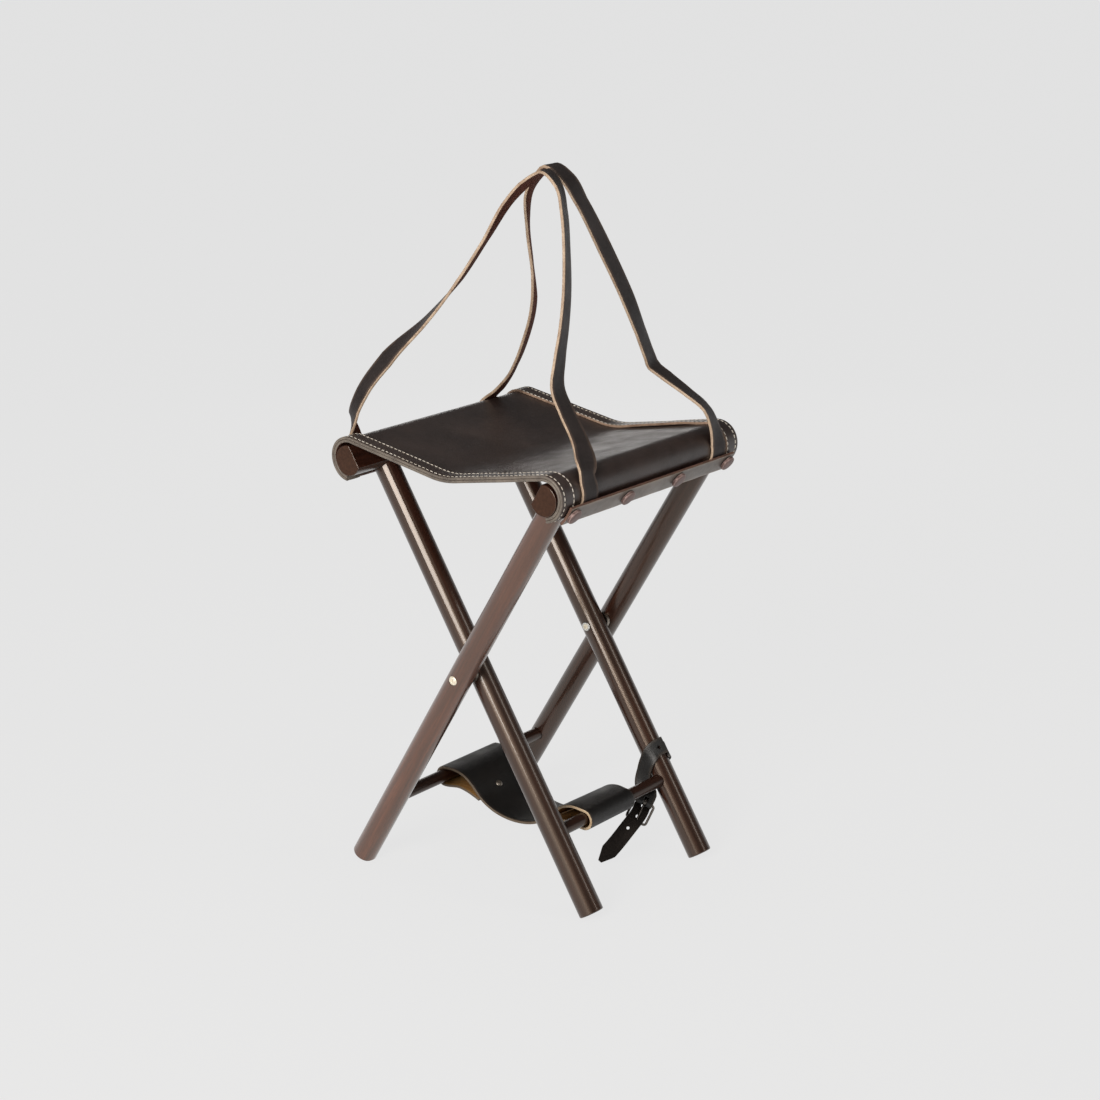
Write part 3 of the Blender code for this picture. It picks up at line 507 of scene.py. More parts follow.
def ribbon(name, route, facing, halves, looks, thick, round_edge=ROUND_EDGE):
    """Strap along a route, with the direction of its grain side and half its width at each point."""
    columns = 6
    grid, normals, across = [], [], []
    for point, run, face, half in zip(route, runs(route), facing, halves):
        side = face.cross(run).normalized()
        out = run.cross(side).normalized()
        grid.append([point + side * off for off in spread(round_edge - half, half - round_edge, columns)])
        normals.append([out] * (columns + 1))
        across.append(side)
    return leather(name, grid, normals, across, looks, thick, round_edge)


def lathe(name, outline, where, aim, looks, steps=40, rim=None):
    """Turned piece along aim from where. outline is (radius, height) pairs that start and end on the axis."""
    bm = bmesh.new()
    wear = bm.verts.layers.float.new("wear")
    turn = aim.to_track_quat("Z", "Y").to_matrix()
    rings = []
    for radius, height in outline:
        if radius < 1e-7:
            rings.append([bm.verts.new(where + turn @ Vector((0.0, 0.0, height)))])
            continue
        ring = []
        for k in range(steps):
            angle = 2.0 * math.pi * k / steps
            spot = Vector((radius * math.cos(angle), radius * math.sin(angle), height))
            vert = bm.verts.new(where + turn @ spot)
            vert[wear] = 1.0 if rim and rim[0] <= radius <= rim[1] else 0.0
            ring.append(vert)
        rings.append(ring)
    for low, high in zip(rings, rings[1:]):
        for k in range(steps):
            n = (k + 1) % steps
            if len(low) == 1:
                bm.faces.new((low[0], high[k], high[n]))
            elif len(high) == 1:
                bm.faces.new((low[k], low[n], high[0]))
            else:
                bm.faces.new((low[k], low[n], high[n], high[k]))
    return make(name, bm, looks, 38.0)


def smooth_path(points, step, guides=None):
    """Smooth route through points, and the guide directions that go with it."""
    line = [points[0] * 2 - points[1]] + points + [points[-1] * 2 - points[-2]]
    route, turned = [], []
    for number, (a, b, c, d) in enumerate(zip(line, line[1:], line[2:], line[3:])):
        before, here, after = (b - a).length, (c - b).length, (d - c).length
        leave = ((b - a) / before * here + (c - b) / here * before) / (before + here)
        reach = ((c - b) / here * after + (d - c) / after * here) / (here + after)
        count = max(1, round(here / step))
        for part in range(count):
            t = part / count
            route.append(b * (2 * t ** 3 - 3 * t * t + 1) + leave * here * (t ** 3 - 2 * t * t + t)
                         + c * (3 * t * t - 2 * t ** 3) + reach * here * (t ** 3 - t * t))
            if guides:
                turned.append(guides[number].lerp(guides[number + 1], t).normalized())
    route.append(points[-1].copy())
    if guides:
        turned.append(guides[-1].normalized())
    return (route, turned) if guides else route


def length_of(route):
    return sum((b - a).length for a, b in zip(route, route[1:]))


def carve(obj, cutter):
    """Cut a hole and keep the result as plain mesh."""
    change = obj.modifiers.new("Hole", "BOOLEAN")
    change.solver = "EXACT"
    change.object = cutter
    graph = bpy.context.evaluated_depsgraph_get()
    result = bpy.data.meshes.new_from_object(obj.evaluated_get(graph))
    obj.modifiers.remove(change)
    old = obj.data
    obj.data = result
    bpy.data.meshes.remove(old)
    bpy.data.objects.remove(cutter, do_unlink=True)


def pin(points, radius, look):
    """Straight round cutters between pairs of points."""
    bm = bmesh.new()
    for start, end in points:
        turn = (end - start).to_track_quat("Z", "Y").to_matrix().to_4x4()
        bmesh.ops.create_cone(bm, cap_ends=True, segments=20, radius1=radius, radius2=radius,
                              depth=(end - start).length, matrix=Matrix.Translation((start + end) / 2) @ turn)
    return make("pin", bm, [look])


def frame_place(turn):
    lean = Matrix.Rotation(turn, 4, "Z") @ Matrix.Rotation(SPLAY, 4, "Y")
    return Matrix.Translation((0.0, 0.0, PIVOT_Z)) @ lean


def smoothstep(t):
    t = min(1.0, max(0.0, t))
    return t * t * (3.0 - 2.0 * t)


OUTER = frame_place(0.0)
INNER = frame_place(math.pi)
RAIL = OUTER @ Vector((RAIL_V, 0.0, RAIL_U))
STRETCHER = OUTER @ Vector((0.0, 0.0, STRETCHER_U))
HIDE_R = RAIL_R + GAP + LEATHER / 2
STRAP_R = RAIL_R + 2 * GAP + LEATHER + STRAP_T / 2
EAST = Vector((1.0, 0.0, 0.0))
NORTH = Vector((0.0, 1.0, 0.0))
SCREW_AIM = Vector((math.cos(SCREW_ANGLE), 0.0, math.sin(SCREW_ANGLE)))


# Leather pieces

def notch(y, radius, legs):
    """Lowest angle on the rail that clears a leg's top, for a layer whose inner side is at this radius."""
    end = SEAT_END
    for leg_y in legs:
        off = abs(y - leg_y)
        reach = LEG_R + GAP
        if off < reach:
            share = (-RAIL_V + math.sqrt(reach * reach - off * off)) / radius
            clear = -math.acos(min(1.0, share))
            end = max(end, min(clear, -math.asin(min(1.0, NOTCH_TOP / radius))))
    return end


def wrap_lift(angle):
    """How far the hide stands off a rail. The angle is from the level, outwards and up."""
    return SEAT_LIFT * smoothstep((angle - LIFT_FROM) / (LIFT_TO - LIFT_FROM))


def ripple(point):
    """Slight waviness of the slung hide between the rails."""
    share = smoothstep((RAIL.x - RIPPLE_CLEAR - abs(point.x)) / RIPPLE_FADE)
    return RIPPLE * share * noise.noise(Vector((point.x * 24.0, point.y * 13.0, 3.0)))


def seat_profile(lift, end):
    """Half of the seat's section from under the rail to the middle: points and normals, lift above the hide's
    own middle, from the given end angle on the rail."""
    radius = HIDE_R + lift
    start = end - SPLAY
    leave = math.pi / 2 + SEAT_SLOPE
    arc, slope, bend = SEAT_STEPS
    points, normals = [], []
    for i in range(arc):
        angle = start + (leave - start) * i / arc
        normals.append(Vector((math.cos(angle), 0.0, math.sin(angle))))
        points.append(RAIL + normals[-1] * (radius + wrap_lift(angle)))
    up = Vector((math.cos(leave), 0.0, math.sin(leave)))
    edge = RAIL + up * (radius + SEAT_LIFT)
    drop = Vector((-math.cos(SEAT_SLOPE), 0.0, -math.sin(SEAT_SLOPE)))
    bend_r = SEAT_ROUND - lift
    reach = (edge.x - bend_r * math.sin(SEAT_SLOPE)) / math.cos(SEAT_SLOPE)
    for i in range(slope):
        points.append(edge + drop * reach * i / slope)
        normals.append(up.copy())
    low = edge + drop * reach
    for i in range(bend + 1):
        angle = SEAT_SLOPE * (1.0 - i / bend)
        points.append(Vector((bend_r * math.sin(angle), 0.0,
                              low.z - bend_r * (math.cos(angle) - math.cos(SEAT_SLOPE)))))
        normals.append(Vector((-math.sin(angle), 0.0, math.cos(angle))))
    return points, normals


def seat_grid(stations, lift, inner_radius):
    """Grid of the whole seat layer, from under the right rail to under the left one."""
    columns = []
    for y in stations:
        right = seat_profile(lift, notch(y, inner_radius, (-OUTER_LEG_Y, OUTER_LEG_Y)))
        left = seat_profile(lift, notch(y, inner_radius, (-INNER_LEG_Y, INNER_LEG_Y)))
        points = [p + NORTH * y for p in right[0]]
        points += [Vector((-p.x, y, p.z)) for p in reversed(left[0][:-1])]
        normals = list(right[1]) + [Vector((-n.x, 0.0, n.z)) for n in reversed(left[1][:-1])]
        points = [p + n * ripple(p) for p, n in zip(points, normals)]
        columns.append((points, normals))
    rows = range(len(columns[0][0]))
    return [[c[0][i] for c in columns] for i in rows], [[c[1][i] for c in columns] for i in rows]


def hem_curl(x, away):
    """How far the rear hem lifts off the hide beside the right rail. away is from the seat's rear edge."""
    free = smoothstep((x - CURL_RISE[0]) / CURL_RISE[1]) * smoothstep((CURL_FALL[0] - x) / CURL_FALL[1])
    return HEM_CURL * free * max(0.0, (away - CURL_START) / (HEM_WIDTH - CURL_START)) ** 2


def seat_pieces():
    """Hide over both rails, the hems along its front and rear edges, and their stitches."""
    looks = (SEAT, SEAT_EDGE, SEAT_FLESH)
    half = SEAT_HALF - HIDE_ROUND
    inner = RAIL_R + GAP
    grid, normals = seat_grid(spread(-half, half, 76), 0.0, inner)
    pieces = [leather("seat_hide", grid, normals, [NORTH] * len(grid), looks, LEATHER, HIDE_ROUND)]
    stitches = bmesh.new()
    lift = (LEATHER + HEM_T) / 2 + HEM_REST
    away = [HIDE_ROUND, *HEM_STATIONS, HEM_WIDTH - HIDE_ROUND]
    for row in STITCH_ROWS:
        away += [row - GROOVE_HALF, row, row + GROOVE_HALF]
    away.sort()
    rise = HEM_T / 2 - GROOVE + STITCH_RISE
    tops = [HEM_T / 2 - (GROOVE if a in STITCH_ROWS else 0.0) for a in away]
    for name, sign in (("front_hem", -1.0), ("rear_hem", 1.0)):
        grid, normals = seat_grid([sign * (SEAT_HALF - a) for a in away], lift, inner + LEATHER)
        if sign > 0:
            for row, ups in zip(grid, normals):
                for j, a in enumerate(away):
                    row[j] += ups[j] * hem_curl(row[j].x, a)
        pieces.append(leather(name, grid, normals, [NORTH * -sign] * len(grid), (*looks, HEM_EDGE), HEM_T,
                              HIDE_ROUND, [tops] * len(grid), last_edge=3))
        for row in STITCH_ROWS:
            column = away.index(row)
            sew(stitches, [g[column] + n[column] * rise for g, n in zip(grid, normals)],
                [n[column] for n in normals])
    pieces.append(make("seat_stitching", stitches, [THREAD], 60.0))
    return pieces


def sew(bm, line, normals):
    """Row of thread stitches along a line of points."""
    gone = 0.0
    due = STITCH_PITCH * 0.5
    for a, b, n in zip(line, line[1:], normals):
        step = (b - a).length
        while due <= gone + step:
            spot = a + (b - a) * ((due - gone) / step)
            stitch(bm, spot, (b - a).normalized(), n)
            due += STITCH_PITCH
        gone += step


def stitch(bm, spot, run, out):
    side = run.cross(out).normalized()
    shape = ((-0.5, 0.35, -0.5), (-0.40, 0.8, 0.0), (0.0, 1.0, 0.15), (0.40, 0.8, 0.0), (0.5, 0.35, -0.5))
    rings = []
    for along, fat, rise in shape:
        ring = []
        for k in range(STITCH_SIDES):
            angle = 2.0 * math.pi * k / STITCH_SIDES
            wide, high = math.cos(angle) * fat, math.sin(angle) * fat + rise
            off = (side * wide + out * high) * STITCH_R
            ring.append(bm.verts.new(spot + run * along * STITCH_LONG + off))
        rings.append(ring)
    for low, high in zip(rings, rings[1:]):
        for k in range(STITCH_SIDES):
            n = (k + 1) % STITCH_SIDES
            bm.faces.new((low[k], low[n], high[n], high[k]))
    bm.faces.new(rings[0])
    bm.faces.new(rings[-1])


def strap_half(sign, shape, end_y, apex_y):
    """Points of half a carry strap from its rail up, and the strap's cross direction at each."""
    leave, low, high = shape
    apex_z = RAIL.z + STRAP_RISE
    spots = [(RAIL.x + out * MM, RAIL.z + up * MM, turn) for out, up, *turn in low]
    spots += [(out * MM, apex_z + up * MM, turn) for out, up, *turn in high]
    steps = 8
    start = STRAP_END - SPLAY
    points = []
    for i in range(steps + 1):
        angle = start + (math.radians(leave) - start) * i / steps
        out = STRAP_R + wrap_lift(angle)
        x, z = RAIL.x + out * math.cos(angle), RAIL.z + out * math.sin(angle)
        points.append(Vector((sign * x, end_y, z)))
    across = [NORTH] * len(points)
    for out, z, (twist, *lean) in spots:
        share = min(1.0, max(0.0, (apex_z - z) / (STRAP_RISE - STRAP_FOOT)))
        points.append(Vector((sign * out, apex_y + (end_y - apex_y) * share + sum(lean) * MM, z)))
        across.append(Vector((-math.sin(math.radians(twist)), math.cos(math.radians(twist)), 0.0)))
    return points, across


def carry_strap(name, right, left, right_y, left_y, apex_y):
    """Strap from under the right clamp strip, up over the seat, to under the left one, and its length."""
    rising, first = strap_half(1.0, right, right_y, apex_y)
    falling, last = strap_half(-1.0, left, left_y, apex_y)
    route, across = smooth_path(rising + falling[::-1], 5.0 * MM, first + last[::-1])
    facing = [side.cross(run).normalized() for run, side in zip(runs(route), across)]
    looks = (STRAP, STRAP_EDGE, STRAP_FLESH)
    return ribbon(name, route, facing, [STRAP_W / 2] * len(route), looks, STRAP_T), length_of(route)


def sling_edges(x):
    """Front and rear edge of the foot sling at x, and how much lower its rear edge hangs there."""
    share = min(1.0, max(0.0, 0.5 - 0.5 * x / STRETCHER.x))
    near, far = [low + (high - low) * share for low, high in (SLING_NEAR, SLING_FAR)]
    return near, far, SLING_DIP * math.sin(math.pi * share) ** 2


def foot_sling():
    """Sling between the stretchers: flap, loop and belly at one, and the same mirrored at the other."""

    def beside(run, up):
        return Vector((STRETCHER.x + run * MM, 0.0, STRETCHER.z + up * MM))

    loop_r = SLING_BORE + SLING_T / 2
    loop_z = STRETCHER.z - (SLING_BORE - STRETCHER_R - GAP)
    half = [beside(*spot) for spot in SLING_FLAP]
    for angle in range(-85, -276, -19):
        turn = math.radians(angle)
        half.append(Vector((STRETCHER.x + loop_r * math.cos(turn), 0.0, loop_z + loop_r * math.sin(turn))))
    half += [beside(*spot) for spot in SLING_BELLY] + [Vector((0.0, 0.0, STRETCHER.z - SLING_SAG))]
    route = smooth_path(half + [Vector((-p.x, 0.0, p.z)) for p in reversed(half[:-1])], 3.5 * MM)
    facing = [run.cross(NORTH).normalized() for run in runs(route)]
    shares = spread(0.0, 1.0, 24)
    grid = []
    for point in route:
        near, far, dip = sling_edges(point.x)
        low, high = near + ROUND_EDGE, far - ROUND_EDGE
        grid.append([Vector((point.x, low + (high - low) * s, point.z - dip * s)) for s in shares])
    normals = [[face] * len(shares) for face in facing]
    looks = (BLACK, BLACK_EDGE, BLACK_FLESH)
    return leather("sling_hide", grid, normals, [NORTH] * len(grid), looks, SLING_T), length_of(route)


def clamp_strip(name, place):
    """Flat, slightly bowed leather strip over the strap ends, square to the screws."""
    rise = Vector((-math.sin(SCREW_ANGLE), 0.0, math.cos(SCREW_ANGLE)))
    centre = Vector((RAIL_V, 0.0, RAIL_U))
    grid, normals, above = [], [], []
    for y in spread(*STRIP_Y, 90):
        spots, ups, tops = [], [], []
        for along in spread(STRIP_ROUND - STRIP_LOW, STRIP_HIGH - STRIP_ROUND, 12):
            out = STRIP_R - STRIP_T / 2 - along * along / (2 * STRIP_BOW)
            spots.append(place @ (centre + SCREW_AIM * out + rise * along + NORTH * y))
            ups.append(place.to_3x3() @ (SCREW_AIM + rise * (along / STRIP_BOW)).normalized())
            dent = sum(math.exp(-((y - s) ** 2 + along * along) / SCREW_DENT_R ** 2) for s in SCREW_Y)
            wave = noise.noise(Vector((y * 60.0, along * 90.0, 7.0)))
            tops.append(STRIP_T / 2 + STRIP_WAVE * wave - SCREW_DENT * dent)
        grid.append(spots)
        normals.append(ups)
        above.append(tops)
    across = [place.to_3x3() @ rise] * len(grid)
    # The strip's grain look carries a painted sheen: its colour is lightened to stand for the floor's
    # reflection
    return leather(name, grid, normals, across, (CLAMP_AND_PAINTED_SHEEN, CLAMP_EDGE, STRAP_FLESH), STRIP_T, STRIP_ROUND, above)


def clamp_screws(side, place):
    """Disc-headed screws through a clamp strip, each with the node that it stands for."""
    pieces = []
    r = SCREW_HEAD_R
    base = STRIP_R + GAP
    outline = [(0.0, base - SCREW_SHANK), (SCREW_R, base - SCREW_SHANK), (SCREW_R, base)]
    outline += [(r * out, base + up * MM) for out, up in SCREW_DOME]
    aim = place.to_3x3() @ SCREW_AIM
    for number, y in enumerate(SCREW_Y, 1):
        where = place @ Vector((RAIL_V, y, RAIL_U))
        screw = lathe(f"{side}_screw_{number}", outline, where, aim, [PAINTED], 40, (r * 0.9, r * 0.99))
        pieces.append((screw, f"{side}_clamp_screw_{number}"))
    return pieces


# Closing strap, in the inner frame's axes, from the stretcher's place on the leg

BELT_LEG = Vector((0.0, -INNER_LEG_Y, STRETCHER_U))


def outward(degrees):
    """Direction away from the leg's axis."""
    angle = math.radians(degrees)
    return Vector((-math.sin(angle), math.cos(angle), 0.0))


def belt_wrap(degrees, rise):
    return BELT_LEG + outward(degrees) * WRAP_R + Vector((0.0, 0.0, rise * MM))


def belt_spot(out, along, rise):
    return BELT_LEG + Vector((out, along, rise)) * MM


def in_world(route, facing):
    turn = INNER.to_3x3()
    return [INNER @ point for point in route], [turn @ face for face in facing]


def belt_billet():
    """Strap round the leg, whose long end hangs down with holes and a pointed tip."""
    points = [belt_wrap(*turn) for turn in BILLET_TURNS] + [belt_spot(*spot) for spot in BILLET_RUN]
    hints = [outward(degrees) for degrees, rise in BILLET_TURNS] + [outward(-118), EAST] + [BELT_AWAY] * 4
    route, facing = smooth_path(points, 3.0 * MM, hints)
    to_tip = [length_of(route[i:]) for i in range(len(route))]
    shares = [min(1.0, left / BILLET_TAPER) for left in to_tip]
    halves = [BELT_W / 2 * (TIP_SHARE + (1.0 - TIP_SHARE) * share) for share in shares]
    spots, fronts = in_world(route, facing)
    billet = ribbon("belt_billet", spots, fronts, halves, BELT_LOOKS, BELT_T, BELT_ROUND)
    holes = []
    for reach in BILLET_HOLES:
        index = max(i for i, left in enumerate(to_tip) if left >= reach * MM)
        through = fronts[index] * HOLE_REACH
        holes.append((spots[index] - through, spots[index] + through))
    carve(billet, pin(holes, BELT_HOLE_R, BELT_EDGE))
    return billet, to_tip[0]


def belt_chape():
    """Short strap from the leg to the buckle, round the buckle's bar, with a slot for the prong."""
    # The buckle lies over the third point of the billet's run
    before, middle, after = [belt_spot(*spot) for spot in BILLET_RUN[1:4]]
    run = (after - before).normalized()
    face = -(BELT_AWAY - run * BELT_AWAY.dot(run)).normalized()
    side = run.cross(face)
    heel = middle - run * BUCKLE_HALF_L + face * BUCKLE_HEEL
    toe = middle + run * BUCKLE_HALF_L - face * BUCKLE_TOE
    slope = (toe - heel).normalized()
    square = Matrix((side, slope, side.cross(slope))).transposed().to_4x4()
    loop = BUCKLE_WIRE + 2 * GAP + BELT_T / 2
    start = CHAPE_TURNS[0][0]
    turns = [belt_wrap(*turn) for turn in CHAPE_TURNS]
    tail = turns[0] + outward(start + 90) * CHAPE_TAIL + Vector((0.0, 0.0, 1.0 * MM))
    points = [tail] + turns + [belt_spot(*spot) for spot in CHAPE_RUN]
    points += [heel + face * (loop + 1.0 * MM) - run * 8.0 * MM, heel + face * loop - run * 3.0 * MM]
    hints = [outward(start)] + [outward(degrees) for degrees, rise in CHAPE_TURNS] + [NORTH]
    hints += [(NORTH * 1.6 + face).normalized(), (NORTH * 0.15 + face).normalized(), face]
    for degrees in (0, 45, 90, 135, 180):
        angle = math.radians(degrees)
        hints.append(face * math.cos(angle) + run * math.sin(angle))
        points.append(heel + hints[-1] * loop)
    route, facing = smooth_path(points, 2.5 * MM, hints)
    spots, fronts = in_world(route, facing)
    halves = [BELT_W / 2] * len(route)
    chape = ribbon("belt_chape", spots, fronts, halves, BELT_LOOKS, BELT_T, BELT_ROUND)
    hole = points[0] * 0.45 + points[1] * 0.55
    through = outward(start) * HOLE_REACH
    carve(chape, pin([(INNER @ (hole - through), INNER @ (hole + through))], BELT_HOLE_R, BELT_EDGE))
    bm = bmesh.new()
    slot = INNER @ Matrix.Translation(heel) @ square @ Matrix.Translation((0.0, 3.0 * MM, 0.0))
    bmesh.ops.create_cube(bm, size=1.0, matrix=slot @ Matrix.Diagonal(PRONG_SLOT))
    carve(chape, make("slot", bm, [BELT_EDGE]))
    return chape, length_of(route)


# Rivets, bolts and the edges of the wood

def sling_rivets():
    """Domed rivets through the sling's turned-back ends."""
    face = SLING_T / 2 + GAP
    r = RIVET_HEAD_R
    outline = [(r * out, -face - up * MM) for out, up in reversed(RIVET_DOME)]
    outline += [(RIVET_R, -face), (RIVET_R, RIVET_BACK)]
    outline += [(r * out, RIVET_BACK + up * MM) for out, up in RIVET_DOME]
    pieces = []
    for sign, node in ((1.0, "sling_rivet_outer"), (-1.0, "sling_rivet_inner")):
        x = sign * (STRETCHER.x + SLING_RIVET_IN)
        spot = Vector((x, sign * SLING_RIVET_Y, STRETCHER.z - SLING_RIVET_DROP))
        near, far, dip = sling_edges(spot.x)
        spot.z -= dip * (spot.y - near) / (far - near)
        along = Vector((-sign, 0.0, -1.0)).normalized()
        pieces.append((lathe(node + "_head", outline, spot, along, [STEEL], 28), node))
    return pieces


def pivot_bolts():
    """Domed screw heads with a shallow cross slot, over the shanks that cross both legs."""
    pieces = []
    face = OUTER_LEG_Y + LEG_R - BOLT_SINK
    shank_end = INNER_LEG_Y - LEG_R + BOLT_SINK - BOLT_PAST
    r = BOLT_HEAD_R
    outline = [(0.0, shank_end), (BOLT_R, shank_end), (BOLT_R, face + GAP), (r * 0.97, face + GAP)]
    outline += [(r * out, face + up * MM) for out, up in BOLT_DOME]
    for end, sign in (("front", -1.0), ("rear", 1.0)):
        aim = Vector((0.0, sign, 0.0))
        bolt = lathe(end + "_bolt", outline, Vector((0.0, 0.0, PIVOT_Z)), aim, [BRASS], 40)
        for degrees in (24.0, 114.0):
            bm = bmesh.new()
            spot = Matrix.Translation((0.0, sign * (face + BOLT_HEAD_T), PIVOT_Z))
            turn = Matrix.Rotation(math.radians(degrees), 4, "Y")
            bmesh.ops.create_cube(bm, size=1.0, matrix=spot @ turn @ Matrix.Diagonal(BOLT_SLOT))
            carve(bolt, make("slot", bm, [BRASS]))
        pieces.append((bolt, end + "_pivot_bolt"))
    return pieces


def soften(node, width):
    """Round the edges of a wooden node and even out its shading."""
    node.modifiers.new("Joined", "WELD").merge_threshold = WELD_REACH
    soft = node.modifiers.new("Soft edges", "BEVEL")
    soft.width = width
    soft.segments = 3
    soft.limit_method = "ANGLE"
    soft.angle_limit = math.radians(50.0)
    node.modifiers.new("Even shading", "WEIGHTED_NORMAL").weight = 80


# Scene

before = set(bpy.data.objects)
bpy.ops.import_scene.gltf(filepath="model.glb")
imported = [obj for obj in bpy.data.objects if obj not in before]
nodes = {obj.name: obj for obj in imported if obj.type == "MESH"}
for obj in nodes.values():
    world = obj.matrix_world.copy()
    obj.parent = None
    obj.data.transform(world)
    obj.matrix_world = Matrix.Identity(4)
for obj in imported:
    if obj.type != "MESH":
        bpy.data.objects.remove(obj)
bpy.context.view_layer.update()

SEAT = hide_look("seat_hide_look", srgb(35, 25, 22), srgb(49, 38, 34), srgb(63, 50, 45), srgb(94, 80, 70),
                 rough=(0.33, 0.47), shine=0.75)
SEAT_EDGE = edge_look("seat_edge_look", srgb(76, 69, 63), srgb(122, 113, 103))
HEM_EDGE = edge_look("hem_edge_look", srgb(112, 88, 72), srgb(166, 140, 120))
SEAT_FLESH = flesh_look("seat_flesh_look", srgb(58, 30, 22), srgb(100, 60, 46))
STRAP = hide_look("strap_hide_look", srgb(32, 27, 26), srgb(45, 39, 38), srgb(60, 53, 51), srgb(96, 80, 70),
                  rough=(0.44, 0.60), grain=0.5, shine=0.32)
STRAP_EDGE = edge_look("strap_edge_look", srgb(142, 116, 94), srgb(196, 174, 150))
STRAP_FLESH = flesh_look("strap_flesh_look", srgb(70, 36, 26), srgb(120, 68, 50))
# Partly painted sheen: the strips' light grey-brown is their leather's tone, lightened to stand for the
# floor's reflection on their faces
CLAMP_AND_PAINTED_SHEEN = hide_look("clamp_hide_and_sheen_look", srgb(92, 85, 79), srgb(116, 108, 102), srgb(140, 131, 124),
                  srgb(164, 150, 136))
CLAMP_EDGE = edge_look("clamp_edge_look", srgb(66, 42, 34), srgb(112, 82, 68))
BLACK = hide_look("black_hide_look", srgb(10, 9, 8), srgb(17, 15, 13), srgb(27, 24, 21), srgb(54, 45, 37),
                  rough=(0.38, 0.54), shine=0.5)
# The sling's cut edges are cream at its right-hand loop and turn dark brown towards its left
BLACK_EDGE = edge_look("black_edge_look", srgb(160, 130, 96), srgb(222, 200, 168), srgb(58, 48, 40))
BLACK_FLESH = flesh_look("black_flesh_look", srgb(112, 78, 40), srgb(184, 142, 86))
BELT_FLESH = flesh_look("belt_flesh_look", srgb(18, 15, 14), srgb(48, 42, 38))
BELT_EDGE = edge_look("belt_edge_look", srgb(26, 22, 20), srgb(58, 50, 44))
BELT_LOOKS = (BLACK, BELT_EDGE, BELT_FLESH)
THREAD = thread_look("thread_look")
PAINTED = painted_look("screw_look")
BRASS = metal_look("bolt_look", srgb(240, 232, 212), srgb(206, 190, 160), (0.30, 0.45), 0.35)
NICKEL = metal_look("nickel_look", srgb(226, 224, 218), srgb(150, 144, 136))
STEEL = metal_look("steel_look", srgb(150, 142, 132), srgb(84, 76, 68), (0.32, 0.5))
# Painted light: the outer front leg's wood is a lighter copy of the stain (tone 1.25), standing in for the
# light that falls on that leg
FRONT_WOOD_PAINTED_LIGHT = wood_look("front_wood_painted_light_look", (0.0, SPLAY, 0.0), shine=1.2, tone=1.25)
OUTER_WOOD = wood_look("outer_wood_look", (0.0, SPLAY, 0.0))
# Painted shade: the inner legs' wood is a darker copy of the stain (tone 0.72), standing in for the shade on
# those legs
INNER_WOOD_PAINTED_SHADE = wood_look("inner_wood_painted_shade_look", (0.0, -SPLAY, 0.0), shine=0.75, tone=0.72)
CROSS_WOOD = wood_look("cross_wood_look", (math.pi / 2, 0.0, 0.0), ends=True)
BAR_WOOD = wood_look("bar_wood_look", (math.pi / 2, 0.0, 0.0), shine=0.4, tone=0.7)
DARK_METAL = metal_look("buckle_look", srgb(104, 99, 94), srgb(52, 48, 44), (0.26, 0.45))

for name, node in nodes.items():
    # The outer front leg takes the lighter copy of the wood, with painted light
    if name == "outer_front_leg":
        look = FRONT_WOOD_PAINTED_LIGHT
    elif name.endswith("_leg"):
        # The inner legs take the darker copy of the wood, with painted shade
        look = OUTER_WOOD if name.startswith("outer") else INNER_WOOD_PAINTED_SHADE
    elif name.endswith("_rail"):
        look = CROSS_WOOD
    elif name.endswith("_stretcher"):
        look = BAR_WOOD
    elif name.startswith("buckle"):
        look = DARK_METAL
    elif name.endswith("_washer"):
        look = STEEL
    else:
        look = NICKEL
    node.data.materials.clear()
    node.data.materials.append(look)
    if name.endswith(("_rail", "_leg", "_stretcher")):
        soften(node, RAIL_SOFT if name.endswith("_rail") else BAR_SOFT)

SEAT_LENGTH = 2.0 * length_of(seat_profile(0.0, SEAT_END)[0])

seat = seat_pieces()
for piece in seat:
    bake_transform(piece)
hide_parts("seat_leather")

FRONT_STRAP = (FRONT_RIGHT, FRONT_LEFT, -STRAP_FRONT_Y, -STRAP_FAR_Y, -STRAP_APEX_Y)
REAR_STRAP = (REAR_RIGHT, REAR_LEFT, STRAP_FAR_Y, STRAP_NEAR_Y, STRAP_APEX_Y)
for end, shape in (("front", FRONT_STRAP), ("rear", REAR_STRAP)):
    strap, length = carry_strap(end + "_strap", *shape)
    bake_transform(strap)
    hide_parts(end + "_carry_strap")

sling, sling_length = foot_sling()
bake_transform(sling)
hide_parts("foot_sling")
for rivet, node in sling_rivets():
    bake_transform(rivet)
    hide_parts(node)

for side, body, place in (("right", "outer", OUTER), ("left", "inner", INNER)):
    strip = clamp_strip(side + "_strip", place)
    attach(strip, body)
    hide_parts(side + "_clamp_strip")
    for screw, node in clamp_screws(side, place):
        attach(screw, body)
        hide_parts(node)

billet, billet_length = belt_billet()
chape, chape_length = belt_chape()
for piece, node, length in ((billet, "closing_strap", billet_length), (chape, "buckle_strap", chape_length)):
    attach(piece, "inner")
    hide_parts(node)

for bolt, node in pivot_bolts():
    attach(bolt, "outer")
    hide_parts(node)


# Floor, light and camera

def backdrop_look():
    """Pale sweep: even to the camera and in reflections, with the object's soft shadow."""
    look = Look("floor_look", 0.9)
    look.set(Base_Color=(0.8, 0.8, 0.8, 1.0), Specular_IOR_Level=0.0)
    glow = look.nodes.new("ShaderNodeEmission")
    glow.inputs["Color"].default_value = (BACKDROP, BACKDROP, BACKDROP, 1.0)
    blend = look.nodes.new("ShaderNodeMixShader")
    look.join(look.math("MULTIPLY", look.shown(), FLOOR_GLOW), blend.inputs["Fac"])
    look.join(look.shader.outputs["BSDF"], blend.inputs[1])
    look.join(glow.outputs["Emission"], blend.inputs[2])
    look.join(blend.outputs["Shader"], look.nodes["Material Output"].inputs["Surface"])
    return look.mat


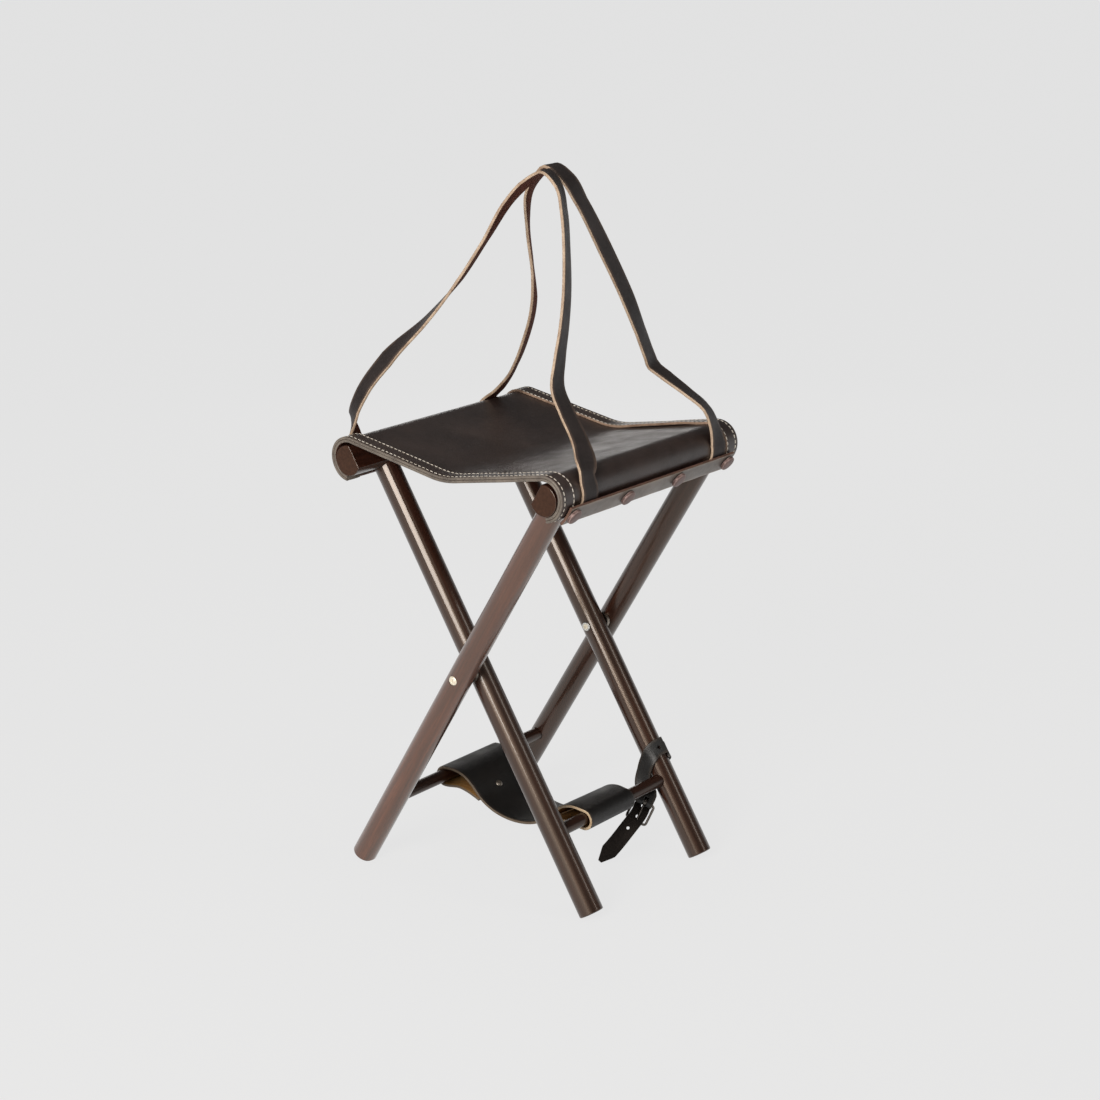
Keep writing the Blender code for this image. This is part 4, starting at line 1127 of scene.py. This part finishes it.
def pale_horizon(tree):
    """Carry the floor's tone a few degrees above its far edge, so that a low view has no dark horizon."""
    sky = Nodes(tree)
    background = sky.nodes["Background"]
    background.inputs["Color"].default_value = (1.0, 1.0, 1.0, 1.0)
    height = sky.split(sky.nodes.new("ShaderNodeTexCoord").outputs["Generated"])["Z"]
    band = sky.span(height, *SKY_BAND, SKY_PALE - SKY_LIGHT, 0.0)
    strength = sky.math("ADD", sky.math("MULTIPLY", band, sky.shown()), SKY_LIGHT)
    sky.join(strength, background.inputs["Strength"])


def lamp(name, where, aim, size, power):
    data = bpy.data.lights.new(name, "AREA")
    data.shape = "RECTANGLE"
    data.size, data.size_y = size
    data.energy = power
    data.color = (1.0, 0.955, 0.91)
    obj = bpy.data.objects.new(name, data)
    obj.location = where
    obj.rotation_euler = (Vector(aim) - Vector(where)).to_track_quat("-Z", "Y").to_euler()
    obj.visible_camera = False
    bpy.context.scene.collection.objects.link(obj)


bm = bmesh.new()
bmesh.ops.create_grid(bm, x_segments=4, y_segments=4, size=FLOOR_HALF)
floor = make("floor", bm, [backdrop_look()])
floor.location.z = -FLOOR_DROP

world = bpy.data.worlds.new("studio")
world.use_nodes = True
scene = bpy.context.scene
scene.world = world
pale_horizon(world.node_tree)

AIM = (0.0, 0.0, 0.4)
lamp("front", (0.5, -2.25, 1.25), AIM, (1.0, 1.2), 58.0)
lamp("side", (2.1, 0.5, 1.7), AIM, (0.5, 1.2), 7.0)
lamp("back", (-1.3, 1.9, 0.58), (0.1, 0.0, 0.47), (1.4, 0.24), 2.4)
lamp("top", (0.0, 0.0, 2.6), AIM, (1.5, 1.5), 13.0)

lens = bpy.data.cameras.new("camera")
lens.lens = CAMERA_LENS
lens.sensor_width = 36.0
lens.sensor_fit = "HORIZONTAL"
camera = bpy.data.objects.new("camera", lens)
pan = Matrix.Rotation(CAMERA_AZIMUTH, 4, "Z")
tilt = Matrix.Rotation(math.pi / 2 - CAMERA_ELEVATION, 4, "X")
roll = Matrix.Rotation(CAMERA_ROLL, 4, "Z")
camera.matrix_world = Matrix.Translation(CAMERA_AT) @ pan @ tilt @ roll
scene.collection.objects.link(camera)
scene.camera = camera
scene.view_settings.view_transform = "Standard"
